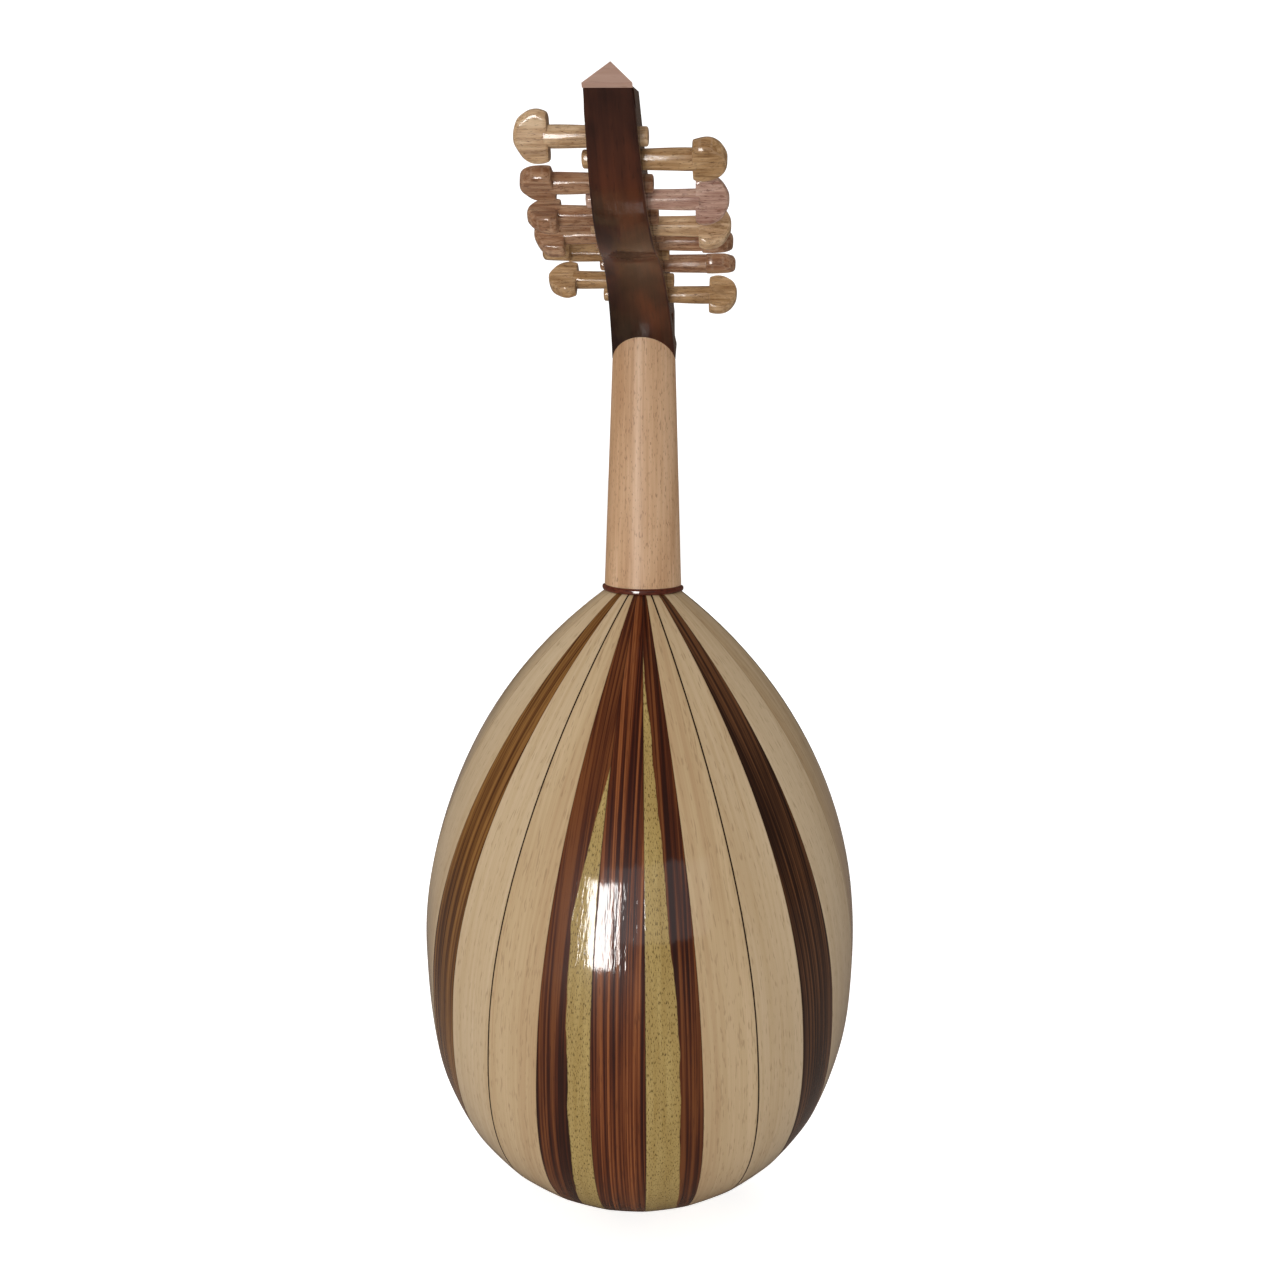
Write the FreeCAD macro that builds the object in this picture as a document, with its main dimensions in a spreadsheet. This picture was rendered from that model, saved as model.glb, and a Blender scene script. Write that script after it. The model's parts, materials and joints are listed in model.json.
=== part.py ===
"""Oud: a fretless lute with a ribbed bowl, a short neck and a bent-back pegbox of turning pegs.

Frame, in millimetres: +Z runs up the neck, the soundboard faces -Y and the bowl's back +Y.
X = 0 is the plane of symmetry. The origin is the middle of the neck's top face at the nut, where
a hanger's yoke holds the instrument between the neck and the pegbox. Left is +X, right is -X.
"""
import FreeCAD, Part
import math
import os

import Sketcher
from FreeCAD import Placement, Rotation, Vector

doc = FreeCAD.newDocument("Oud")
sheet = doc.addObject("Spreadsheet::Sheet", "Sizes")

# Driving sizes: millimetres, degrees for names ending in _angle, plain numbers otherwise.
SIZES = {
    # Bowl outline and section
    "body_length": 493, "body_half_width": 172.8, "widest_drop": 287, "lower_fullness": 2.56,
    "depth_ratio_mid": 0.972, "depth_ratio_neck": 0.835, "rib_thickness": 3, "tail_gap": 10,
    "joint_spread": 0.55, "purfling_width": 0.9,
    # Polar angles of the rib joints from the keel, at the neck and at the widest place
    "joint_1_neck_angle": 4, "joint_1_wide_angle": 6.2,
    "joint_2_neck_angle": 9, "joint_2_wide_angle": 19,
    "joint_3_neck_angle": 17, "joint_3_wide_angle": 32.8,
    "joint_4_neck_angle": 28, "joint_4_wide_angle": 47,
    "joint_5_neck_angle": 37.5, "joint_5_wide_angle": 60.3,
    "joint_6_neck_angle": 56, "joint_6_wide_angle": 77,
    "edge_angle": 90,
    # Inside the bowl
    "neck_block_length": 42, "tail_block_length": 26, "block_width": 74, "block_depth": 58,
    "lining_width": 5, "lining_depth": 7,
    "brace_count": 7, "brace_width": 6, "brace_depth": 13, "brace_first": 66, "brace_tail_gap": 91,
    "cap_reach": 27, "cap_thickness": 1.6, "cap_glue": 0.16,
    # Soundboard and what lies on it
    "board_thickness": 2, "binding_width": 2.6, "large_hole_radius": 43, "large_hole_drop": 165,
    "small_hole_radius": 22, "small_hole_drop": 252, "small_hole_offset": 72,
    "rosette_clearance": 0.1, "rosette_thickness": 1.6,
    "guard_top_drop": 268, "guard_length": 98, "guard_half_width": 34, "guard_thickness": 0.8,
    "bridge_drop": 400, "bridge_length": 112, "bridge_height": 9, "bridge_width": 14,
    "bridge_hole_radius": 1,
    # Neck
    "neck_length": 200, "neck_half_width": 29, "nut_half_width": 21.4, "neck_depth": 24.2,
    "nut_depth": 18.6, "seam_drop": 33, "seam_angle": 36, "ring_thickness": 4.5, "ring_proud": 1.8,
    "tenon_width": 18, "tenon_depth": 11, "tenon_length": 24, "tenon_inset": 4,
    "tenon_clearance": 0.1, "fingerboard_thickness": 3,
    "nut_length": 6, "nut_height": 4.8,
    # Pegbox: its back face runs through two arcs and a flat end
    "pegbox_start_angle": 42,
    "pegbox_bend_angle": 86, "pegbox_end_angle": 43.5, "first_arc_length": 97,
    "second_arc_length": 83.5, "flat_end_length": 40, "back_thickness": 3.5,
    "wall_thickness": 4.5, "root_depth": 24, "tip_depth": 20, "tip_half_width": 12.7,
    "heel_length": 17, "end_block_length": 13, "tip_thickness": 2.5, "tip_bevel": 12,
    # Pegs
    "peg_setback": 11.5, "peg_first_left": 39, "peg_first_right": 26, "peg_pitch": 30,
    "peg_big_radius": 5.8, "peg_collar": 6, "peg_taper": 0.02, "peg_clearance": 0.05, "peg_tip_reach": 4,
    "peg_reach_left": 23, "peg_reach_right": 28.5, "head_half_width": 12, "head_length": 19,
    "head_thickness": 10, "head_edge_radius": 2.6, "head_overlap": 2,
    # Strings
    "string_radius_low": 0.6, "string_radius_high": 0.35, "course_spread_nut": 33,
    "course_spread_bridge": 84, "pair_gap": 2.6, "string_clearance": 0.4, "string_gather": 0.68,
    "string_bend": 1.6, "nut_gap": 0.02, "nut_crown": 1.2,
}
PEG_TURNS = {  # how far each peg is turned at rest, in degrees, from the neck end to the tip
    "left": (129, -6, 110, 144, 14, 70),
    "right": (119, 0, 159, 110, 66, 24),
}
PEGS_PER_SIDE = 6
COURSES = 6
RIB_PAIRS = 6

for row, (alias, value) in enumerate(SIZES.items(), start=1):
    sheet.set(f"A{row}", alias)
    sheet.set(f"B{row}", str(value))
    sheet.setAlias(f"B{row}", alias)
doc.recompute()


def size(name):
    """Value of one driving size."""
    return float(sheet.get(name))


def cell(name):
    """Reference to one driving size, for an expression."""
    return f"Sizes.{name}"


# ---------------------------------------------------------------- helpers

def placed(obj, x=0.0, y=0.0, z=0.0, rotation=None):
    """Give an object its place, after its shape."""
    obj.Placement = Placement(Vector(x, y, z), rotation or Rotation())
    return obj


def feature(name, shape):
    """A sub-part whose shape is a computed solid."""
    obj = doc.addObject("Part::Feature", name)
    obj.Shape = shape
    obj.Label = name
    return placed(obj)


def body(name):
    """An empty PartDesign body."""
    obj = doc.addObject("PartDesign::Body", name)
    obj.Label = name
    return obj


def plane(owner, role):
    """One of a body's own origin planes."""
    return next(item for item in owner.Origin.OriginFeatures if item.Role == role)


def sketch_on(owner, role, name, offset=None):
    """A sketch on one of a body's origin planes, moved by an optional offset along its normal."""
    sketch = owner.newObject("Sketcher::SketchObject", name)
    sketch.AttachmentSupport = [(plane(owner, role), "")]
    sketch.MapMode = "FlatFace"
    if offset:
        sketch.setExpression("AttachmentOffset.Base.z", offset)
    return sketch


def bound(sketch, name, kind, *refs_and_value):
    """Add a named dimension to a sketch and return its path for an expression."""
    index = sketch.addConstraint(Sketcher.Constraint(kind, *refs_and_value))
    sketch.renameConstraint(index, name)
    return f"Constraints.{name}"


def closed_polygon(sketch, points):
    """Lines through the points, joined end to end."""
    count = len(points)
    for index in range(count):
        start = Vector(*points[index], 0)
        end = Vector(*points[(index + 1) % count], 0)
        sketch.addGeometry(Part.LineSegment(start, end), False)
    for index in range(count):
        sketch.addConstraint(Sketcher.Constraint("Coincident", index, 2, (index + 1) % count, 1))


def rectangle(sketch, width, height, width_expression, height_expression):
    """A rectangle centred on the sketch's origin, with both sides bound."""
    half_w, half_h = width / 2, height / 2
    closed_polygon(sketch, [(-half_w, -half_h), (half_w, -half_h), (half_w, half_h), (-half_w, half_h)])
    for index, kind in enumerate(("Horizontal", "Vertical", "Horizontal", "Vertical")):
        sketch.addConstraint(Sketcher.Constraint(kind, index))
    sketch.addConstraint(Sketcher.Constraint("Symmetric", 0, 1, 1, 2, -1, 1))
    sketch.setExpression(bound(sketch, "across", "DistanceX", 0, 1, 0, 2, width), width_expression)
    sketch.setExpression(bound(sketch, "along", "DistanceY", 1, 1, 1, 2, height), height_expression)


def circle_in(sketch, x, y, radius, radius_expression, name):
    """A circle whose radius is bound."""
    index = sketch.addGeometry(Part.Circle(Vector(x, y, 0), Vector(0, 0, 1), radius), False)
    sketch.setExpression(bound(sketch, name, "Radius", index, radius), radius_expression)
    return index


def pad(owner, sketch, length_expression, name, both_ways=False):
    """Pad a sketch by a bound length."""
    feat = owner.newObject("PartDesign::Pad", name)
    feat.Profile = sketch
    feat.setExpression("Length", length_expression)
    feat.Midplane = both_ways
    return feat


def pocket_through(owner, sketch, name):
    """Cut a sketch through the whole body, both ways."""
    feat = owner.newObject("PartDesign::Pocket", name)
    feat.Profile = sketch
    feat.Type = "ThroughAll"
    feat.Midplane = True
    return feat


def spline_edge(points):
    """A smooth edge through points."""
    curve = Part.BSplineCurve()
    curve.interpolate(Points=points)
    return curve.toShape()


def closed_solid(faces):
    """A solid inside a closed set of faces."""
    shell = Part.Shell(faces)
    shell.sewShape()
    solid = Part.Solid(shell)
    if solid.Volume < 0:
        solid.reverse()
    return solid


def polygon_face(points):
    """A flat face inside a closed polygon."""
    return Part.Face(Part.makePolygon(list(points) + [points[0]]))


# ---------------------------------------------------------------- bowl

JOINT_Z = -size("neck_length")
UPPER_STATIONS = 9
LOWER_STATIONS = 11
HALVINGS = 40


def outline(place):
    """Drop below the neck joint and half-width of the bowl's edge.

    place runs from 0 at the joint to 1 at the widest, along a circular arc, and to 2 at the tail,
    along a quarter of a superellipse.
    """
    half, joint, widest = size("body_half_width"), size("neck_half_width"), size("widest_drop")
    if place <= 1:
        radius = (widest ** 2 + (half - joint) ** 2) / (2 * (half - joint))
        sweep = math.asin(widest / radius) * (1 - place)
        return widest - radius * math.sin(sweep), half - radius * (1 - math.cos(sweep))
    lower, power = size("body_length") - widest, size("lower_fullness")
    ray = math.pi / 2 * (2 - place)
    reach = ((math.cos(ray) / lower) ** power + (math.sin(ray) / half) ** power) ** (-1 / power)
    return widest + reach * math.cos(ray), reach * math.sin(ray)


def inset_outline(place, inset):
    """The outline moved inwards by inset, square to itself."""
    step = 1e-3
    low = outline(max(place - step, 0))
    high = outline(min(place + step, 2))
    run = math.hypot(high[0] - low[0], high[1] - low[1])
    drop, half = outline(place)
    return (drop + inset * (high[1] - low[1]) / run, half - inset * (high[0] - low[0]) / run)


def lower_place(half):
    """Where the outline has come in to a half-width below the widest place, by halving."""
    low, high = 1.0, 2.0
    for _ in range(HALVINGS):
        middle = (low + high) / 2
        low, high = (middle, high) if outline(middle)[1] > half else (low, middle)
    return low


TAIL_PLACE = lower_place(size("tail_gap"))


def stations(first=0.0):
    """Places along the outline at which sections are taken, from first to the tail."""
    upper = [index / UPPER_STATIONS for index in range(UPPER_STATIONS)]
    lower = [1 + (TAIL_PLACE - 1) * index / LOWER_STATIONS for index in range(LOWER_STATIONS + 1)]
    return [first] + [place for place in upper + lower if place > first + 1e-6]


def depth_ratio(drop):
    """Depth of the section over its half-width."""
    at_neck, at_mid = size("depth_ratio_neck"), size("depth_ratio_mid")
    share = min(max(drop / size("widest_drop"), 0), 1)
    return at_neck + (at_mid - at_neck) * math.sin(share * math.pi / 2)


def joint_angle(number, drop):
    """Polar angle of a joint between ribs, in radians from the keel; the last is the edge."""
    if number > RIB_PAIRS:
        return math.radians(size("edge_angle"))
    neck = size(f"joint_{number}_neck_angle")
    wide = size(f"joint_{number}_wide_angle")
    spread = (max(drop, 0) / size("widest_drop")) ** size("joint_spread")
    return math.radians(neck + (wide - neck) * spread)


def bowl_point(place, inset, number, side, shift=0.0):
    """A point on the bowl at a joint, inset from the outer face and shifted along the section."""
    drop = outline(place)[0]
    inner_drop, half = inset_outline(place, inset)
    angle = side * (joint_angle(number, drop) + shift / outline(place)[1]) if number else 0.0
    return Vector(half * math.sin(angle), depth_ratio(drop) * half * math.cos(angle), JOINT_Z - inner_drop)


def joint_edge(inset, number, side, shift=0.0, first=0.0):
    """The edge that runs down a joint from the neck to the tail."""
    return spline_edge([bowl_point(place, inset, number, side, shift) for place in stations(first)])


def strip(low, high, outer, inner, first=0.0):
    """A strip of the bowl between two joints, flat across, from inset outer to inset inner.

    low and high are (joint number, side, shift) of the strip's two edges.
    """
    edges = [[joint_edge(inset, *edge, first=first) for edge in (low, high)] for inset in (outer, inner)]
    corners = [edges[0][0], edges[0][1], edges[1][1], edges[1][0]]
    faces = [Part.makeRuledSurface(corners[index], corners[(index + 1) % 4]) for index in range(4)]
    for end in (0, -1):
        faces.append(polygon_face([edge.Vertexes[end].Point for edge in corners]))
    return closed_solid(faces)


def joint_sides():
    """The edges of every strip across the bowl, from the right edge round the keel to the left."""
    numbers = list(range(RIB_PAIRS + 1, 0, -1))
    return [(number, -1, 0.0) for number in numbers] + [(number, 1, 0.0) for number in reversed(numbers)]


def bowl_inside(inset):
    """The closed space inside the bowl, inset from its outer face."""
    edges = [joint_edge(inset, *edge) for edge in joint_sides()]
    faces = [Part.makeRuledSurface(edge, edges[(index + 1) % len(edges)])
             for index, edge in enumerate(edges)]
    for end in (0, -1):
        faces.append(polygon_face([edge.Vertexes[end].Point for edge in edges]))
    return closed_solid(faces)


LINED_JOINT = 3  # the joint that holds a black purfling line


def make_ribs():
    """The centre rib and the pairs beside it, with a purfling strip in one joint of each side."""
    thickness = size("rib_thickness")
    half_line = size("purfling_width") / 2
    feature("rib_center", strip((1, -1, 0.0), (1, 1, 0.0), 0.0, thickness))
    for label, side in (("left", 1), ("right", -1)):
        for number in range(1, RIB_PAIRS + 1):
            low_shift = half_line if number == LINED_JOINT else 0.0
            high_shift = -half_line if number + 1 == LINED_JOINT else 0.0
            low = (number, side, low_shift)
            high = (number + 1, side, high_shift)
            feature(f"rib_{label}_{number}", strip(low, high, 0.0, thickness))
        line = strip((LINED_JOINT, side, -half_line), (LINED_JOINT, side, half_line), 0.0, thickness)
        feature(f"purfling_{label}", line)


def make_end_cap():
    """A thin cap over the tail, where all the ribs meet."""
    cap_place = lower_place(size("cap_reach"))
    edges = joint_sides()
    thickness, glue = size("cap_thickness"), size("cap_glue")
    pieces = [strip(low, high, -thickness, -glue, cap_place) for low, high in zip(edges, edges[1:])]
    rim = [bowl_point(TAIL_PLACE, -thickness, *edge[:2]) for edge in edges]
    pieces.append(polygon_face(rim).extrude(Vector(0, 0, thickness)))
    shape = pieces[0].fuse(pieces[1:]).removeSplitter()
    feature("end_cap", shape)


def box(name, length, width, height, x, y, z):
    """A Part box with bound sides and a bound place, given as expressions."""
    obj = doc.addObject("Part::Box", name)
    for key, value in (("Length", length), ("Width", width), ("Height", height)):
        obj.setExpression(key, value)
    for key, value in (("x", x), ("y", y), ("z", z)):
        obj.setExpression(f"Placement.Base.{key}", value)
    return obj


def boolean(kind, name, base, tool):
    """A Part boolean of two objects."""
    obj = doc.addObject(kind, name)
    obj.Label = name
    obj.Base = base
    obj.Tool = tool
    return obj


def make_bowl_inside_parts():
    """Blocks, lining and braces, each cut to the bowl it is glued into."""
    inside = feature("bowl_inside", bowl_inside(size("rib_thickness")))
    lined = feature("bowl_inside_lined", bowl_inside(size("rib_thickness") + size("lining_width")))
    wide = f"2 * {cell('body_half_width')}"
    left = f"-{cell('body_half_width')}"
    block_wide, block_deep = cell("block_width"), cell("block_depth")
    block_left = f"-{cell('block_width')} / 2"
    joint = f"-{cell('neck_length')}"
    tail = f"-{cell('neck_length')} - {cell('body_length')}"

    slab = box("neck_block_slab", block_wide, block_deep, cell("neck_block_length"), block_left, "0",
               f"{joint} - {cell('neck_block_length')}")
    mortise = box("neck_block_mortise",
                  f"{cell('tenon_width')} + 2 * {cell('tenon_clearance')}",
                  f"{cell('tenon_depth')} + 2 * {cell('tenon_clearance')}",
                  f"{cell('tenon_length')} + {cell('tenon_clearance')} + {cell('rib_thickness')}",
                  f"-{cell('tenon_width')} / 2 - {cell('tenon_clearance')}",
                  f"{cell('tenon_inset')} - {cell('tenon_clearance')}",
                  f"{joint} - {cell('tenon_length')} - {cell('tenon_clearance')}")
    solid_block = boolean("Part::Common", "neck_block_blank", inside, slab)
    boolean("Part::Cut", "neck_block", solid_block, mortise)

    slab = box("tail_block_slab", block_wide, block_deep, cell("tail_block_length"), block_left, "0", tail)
    boolean("Part::Common", "tail_block", inside, slab)

    clear_length = (f"{cell('body_length')} - {cell('neck_block_length')} - {cell('tail_block_length')}")
    slab = box("lining_slab", wide, cell("lining_depth"), clear_length, left, "0",
               f"{tail} + {cell('tail_block_length')}")
    edge = boolean("Part::Common", "lining_blank", inside, slab)
    boolean("Part::Cut", "lining", edge, lined)

    bars = []
    room = f"({cell('body_length')} - {cell('brace_first')} - {cell('brace_tail_gap')})"
    pitch = f"{room} / ({cell('brace_count')} - 1)"
    for number in range(int(size("brace_count"))):
        top = f"{joint} - {cell('brace_first')} - {number} * {pitch}"
        bars.append(box(f"brace_bar_{number + 1}", wide, cell("brace_depth"), cell("brace_width"),
                        left, "0", top))
    bundle = doc.addObject("Part::MultiFuse", "brace_bars")
    bundle.Shapes = bars
    boolean("Part::Common", "braces", bundle, lined)


# ---------------------------------------------------------------- soundboard

def board_face(inset):
    """The whole soundboard's face on the plane of the bowl's edge, inset all round."""
    left = [bowl_point(place, inset, RIB_PAIRS + 1, 1) for place in stations()]
    right = [bowl_point(place, inset, RIB_PAIRS + 1, -1) for place in stations()]
    top_left = Vector(left[0].x, 0, JOINT_Z)
    top_right = Vector(right[0].x, 0, JOINT_Z)
    flat = [Vector(point.x, 0, point.z) for point in left]
    flat_right = [Vector(point.x, 0, point.z) for point in right]
    edges = [spline_edge(flat), Part.makeLine(flat[-1], flat_right[-1]), spline_edge(flat_right)]
    if inset > 0:
        edges.append(Part.makeLine(flat[0], top_left))
        edges.append(Part.makeLine(flat_right[0], top_right))
    edges.append(Part.makeLine(top_left, top_right))
    return Part.Face(Part.Wire(Part.__sortEdges__(edges)))


def hole_places():
    """Centre and radius of each sound hole, as (x, z, radius)."""
    large = (0.0, JOINT_Z - size("large_hole_drop"), size("large_hole_radius"))
    drop = JOINT_Z - size("small_hole_drop")
    offset, radius = size("small_hole_offset"), size("small_hole_radius")
    return {"rosette_large": large, "rosette_small_left": (offset, drop, radius),
            "rosette_small_right": (-offset, drop, radius)}


def make_soundboard():
    """Two half boards glued on the centre line, with three sound holes, and the edge binding."""
    up = Vector(0, -size("board_thickness"), 0)
    board = board_face(size("binding_width")).extrude(up)
    for x, z, radius in hole_places().values():
        hole = Part.makeCylinder(radius, 4 * size("board_thickness"),
                                 Vector(x, 2 * size("board_thickness"), z), Vector(0, -1, 0))
        board = board.cut(hole)
    reach = size("body_length") + size("neck_length")
    for label, low in (("left", 0.0), ("right", -reach)):
        half = Part.makeBox(reach, 2 * reach, 2 * reach, Vector(low, -reach, JOINT_Z - reach))
        feature(f"soundboard_{label}", board.common(half))
    rim = board_face(0.0).extrude(up).cut(board_face(size("binding_width")).extrude(up))
    feature("edge_binding", rim)


PETALS = {"rosette_large": (12, 0.62, 0.15), "rosette_small_left": (8, 0.6, 0.2),
          "rosette_small_right": (8, 0.6, 0.2)}


def make_rosette(name, x, z, petals, ring_share, petal_share):
    """A pierced disc that fills one sound hole: a middle hole and a ring of petals."""
    radius_name = "large_hole_radius" if name == "rosette_large" else "small_hole_radius"
    owner = body(name)
    radius = f"{cell(radius_name)} - {cell('rosette_clearance')}"
    disc = sketch_on(owner, "XY_Plane", f"{name}_disc")
    circle_in(disc, 0, 0, size(radius_name), radius, "rim")
    disc.addConstraint(Sketcher.Constraint("Coincident", 0, 3, -1, 1))
    pad(owner, disc, cell("rosette_thickness"), f"{name}_plate")
    doc.recompute()
    holes = sketch_on(owner, "XY_Plane", f"{name}_holes")
    circle_in(holes, 0, size(radius_name) * ring_share, size(radius_name) * petal_share,
              f"{cell(radius_name)} * {petal_share}", "petal")
    holes.addConstraint(Sketcher.Constraint("PointOnObject", 0, 3, -2))
    holes.setExpression(bound(holes, "reach", "DistanceY", -1, 1, 0, 3, size(radius_name) * ring_share),
                        f"{cell(radius_name)} * {ring_share}")
    cut = pocket_through(owner, holes, f"{name}_petal")
    pattern = owner.newObject("PartDesign::PolarPattern", f"{name}_ring")
    pattern.Originals = [cut]
    pattern.Axis = (holes, ["N_Axis"])
    pattern.Angle = 360
    pattern.Occurrences = petals
    owner.Tip = pattern
    doc.recompute()
    middle = sketch_on(owner, "XY_Plane", f"{name}_middle")
    circle_in(middle, 0, 0, size(radius_name) * petal_share, f"{cell(radius_name)} * {petal_share}", "eye")
    middle.addConstraint(Sketcher.Constraint("Coincident", 0, 3, -1, 1))
    owner.Tip = pocket_through(owner, middle, f"{name}_eye")
    placed(owner, x, 0, z, Rotation(Vector(1, 0, 0), 90))


def make_guard():
    """A thin leaf-shaped plate below the large hole, where the plectrum strokes land."""
    owner = body("pickguard")
    half, length = size("guard_half_width"), size("guard_length")
    leaf = sketch_on(owner, "XZ_Plane", "pickguard_leaf")
    # Two arcs that meet at the top and the bottom point of the leaf.
    radius = (half ** 2 + (length / 2) ** 2) / (2 * half)
    sweep = math.asin(length / 2 / radius)
    for side, start in ((1, -sweep), (-1, math.pi - sweep)):
        arc = Part.Circle(Vector(side * (half - radius), 0, 0), Vector(0, 0, 1), radius)
        leaf.addGeometry(Part.ArcOfCircle(arc, start, start + 2 * sweep), False)
    leaf.addConstraint(Sketcher.Constraint("Coincident", 0, 2, 1, 1))
    leaf.addConstraint(Sketcher.Constraint("Coincident", 1, 2, 0, 1))
    leaf.addConstraint(Sketcher.Constraint("Symmetric", 0, 1, 0, 2, -1, 1))
    leaf.addConstraint(Sketcher.Constraint("PointOnObject", 0, 2, -2))
    leaf.addConstraint(Sketcher.Constraint("Equal", 0, 1))
    leaf.setExpression(bound(leaf, "tall", "DistanceY", 0, 1, 0, 2, length), cell("guard_length"))
    leaf.setExpression(bound(leaf, "bow", "Radius", 0, radius),
                       f"({cell('guard_half_width')} ^ 2 + ({cell('guard_length')} / 2) ^ 2)"
                       f" / (2 * {cell('guard_half_width')})")
    pad(owner, leaf, cell("guard_thickness"), "pickguard_plate")
    placed(owner, 0, -size("board_thickness"), JOINT_Z - size("guard_top_drop") - length / 2)


# ---------------------------------------------------------------- neck

def segment_sketch(owner, name, half_name, depth_name, grow="0", offset=None):
    """A circular segment: flat side on the X axis, arc bulging towards +Y."""
    sketch = sketch_on(owner, "XY_Plane", name, offset)
    extra = size(grow) if grow != "0" else 0.0
    extra_cell = cell(grow) if grow != "0" else "0"
    half, depth = size(half_name) + extra, size(depth_name) + extra
    radius = (half ** 2 + depth ** 2) / (2 * depth)
    middle = depth - radius
    start, end = math.atan2(-middle, half), math.atan2(-middle, -half)
    circle = Part.Circle(Vector(0, middle, 0), Vector(0, 0, 1), radius)
    sketch.addGeometry(Part.ArcOfCircle(circle, start, end), False)
    sketch.addGeometry(Part.LineSegment(Vector(-half, 0, 0), Vector(half, 0, 0)), False)
    sketch.addConstraint(Sketcher.Constraint("Coincident", 0, 2, 1, 1))
    sketch.addConstraint(Sketcher.Constraint("Coincident", 1, 2, 0, 1))
    sketch.addConstraint(Sketcher.Constraint("Symmetric", 1, 1, 1, 2, -1, 1))
    sketch.addConstraint(Sketcher.Constraint("Horizontal", 1))
    half_cell, depth_cell = f"({cell(half_name)} + {extra_cell})", f"({cell(depth_name)} + {extra_cell})"
    sketch.setExpression(bound(sketch, "chord", "DistanceX", 1, 1, 1, 2, 2 * half), f"2 * {half_cell}")
    sketch.setExpression(bound(sketch, "round", "Radius", 0, radius),
                         f"({half_cell} ^ 2 + {depth_cell} ^ 2) / (2 * {depth_cell})")
    return sketch


def make_neck():
    """The neck: a tapering round-backed bar with a tenon below and a sloping seam above."""
    owner = body("neck")
    low = segment_sketch(owner, "neck_foot", "neck_half_width", "neck_depth",
                         offset=cell("ring_thickness"))
    high = segment_sketch(owner, "neck_head", "nut_half_width", "nut_depth", offset=cell("neck_length"))
    loft = owner.newObject("PartDesign::AdditiveLoft", "neck_bar")
    loft.Profile = low
    loft.Sections = [high]
    loft.Ruled = True
    doc.recompute()
    # The seam slopes up from the flat top to the back; what lies beyond it is the pegbox's heel.
    seam = sketch_on(owner, "YZ_Plane", "neck_seam")
    height, rise = size("neck_length") - size("seam_drop"), math.tan(math.radians(size("seam_angle")))
    reach = size("neck_length")
    closed_polygon(seam, [(-1, height - rise), (reach, height + rise * reach),
                          (reach, height + reach * (1 + rise)), (-1, height + reach * (1 + rise))])
    pocket_through(owner, seam, "neck_seam_cut")
    doc.recompute()
    tenon = sketch_on(owner, "XY_Plane", "neck_tenon_section", cell("ring_thickness"))
    rectangle(tenon, size("tenon_width"), size("tenon_depth"), cell("tenon_width"), cell("tenon_depth"))
    tenon.setExpression("AttachmentOffset.Base.y", f"{cell('tenon_inset')} + {cell('tenon_depth')} / 2")
    stub = pad(owner, tenon, f"{cell('tenon_length')} + {cell('ring_thickness')}", "neck_tenon")
    stub.Reversed = True
    placed(owner, 0, 0, JOINT_Z)


def make_neck_ring():
    """The moulding between neck and bowl: a proud, rounded plate that the tenon passes through."""
    owner = body("neck_ring")
    outer = segment_sketch(owner, "neck_ring_section", "neck_half_width", "neck_depth", "ring_proud")
    plate = pad(owner, outer, cell("ring_thickness"), "neck_ring_plate")
    doc.recompute()
    arcs = [f"Edge{number}" for number, edge in enumerate(plate.Shape.Edges, start=1)
            if isinstance(edge.Curve, Part.Circle)]
    rounding = owner.newObject("PartDesign::Fillet", "neck_ring_rounding")
    rounding.Base = (plate, arcs)
    rounding.setExpression("Radius", f"min({cell('ring_thickness')} / 2; {cell('ring_proud')}) * 0.95")
    doc.recompute()
    way = sketch_on(owner, "XY_Plane", "neck_ring_way")
    rectangle(way, size("tenon_width"), size("tenon_depth"),
              f"{cell('tenon_width')} + 2 * {cell('tenon_clearance')}",
              f"{cell('tenon_depth')} + 2 * {cell('tenon_clearance')}")
    way.setExpression("AttachmentOffset.Base.y", f"{cell('tenon_inset')} + {cell('tenon_depth')} / 2")
    pocket_through(owner, way, "neck_ring_hole")
    placed(owner, 0, 0, JOINT_Z)


def make_fingerboard():
    """A tapering plate on the flat of the neck, from the bowl's edge to the nut."""
    owner = body("fingerboard")
    face = sketch_on(owner, "XZ_Plane", "fingerboard_face")
    wide, narrow, long = size("neck_half_width"), size("nut_half_width"), size("neck_length")
    closed_polygon(face, [(-wide, 0), (wide, 0), (narrow, long), (-narrow, long)])
    face.addConstraint(Sketcher.Constraint("Horizontal", 0))
    face.addConstraint(Sketcher.Constraint("Symmetric", 0, 1, 0, 2, -1, 1))
    face.addConstraint(Sketcher.Constraint("Symmetric", 2, 1, 2, 2, -2))
    face.setExpression(bound(face, "foot", "DistanceX", 0, 1, 0, 2, 2 * wide),
                       f"2 * {cell('neck_half_width')}")
    face.setExpression(bound(face, "head", "DistanceX", 2, 2, 2, 1, 2 * narrow),
                       f"2 * {cell('nut_half_width')}")
    face.setExpression(bound(face, "reach", "DistanceY", 0, 2, 2, 1, long),
                       f"{cell('neck_length')} - {cell('nut_length')}")
    pad(owner, face, cell("fingerboard_thickness"), "fingerboard_plate")
    placed(owner, 0, 0, JOINT_Z)


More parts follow.
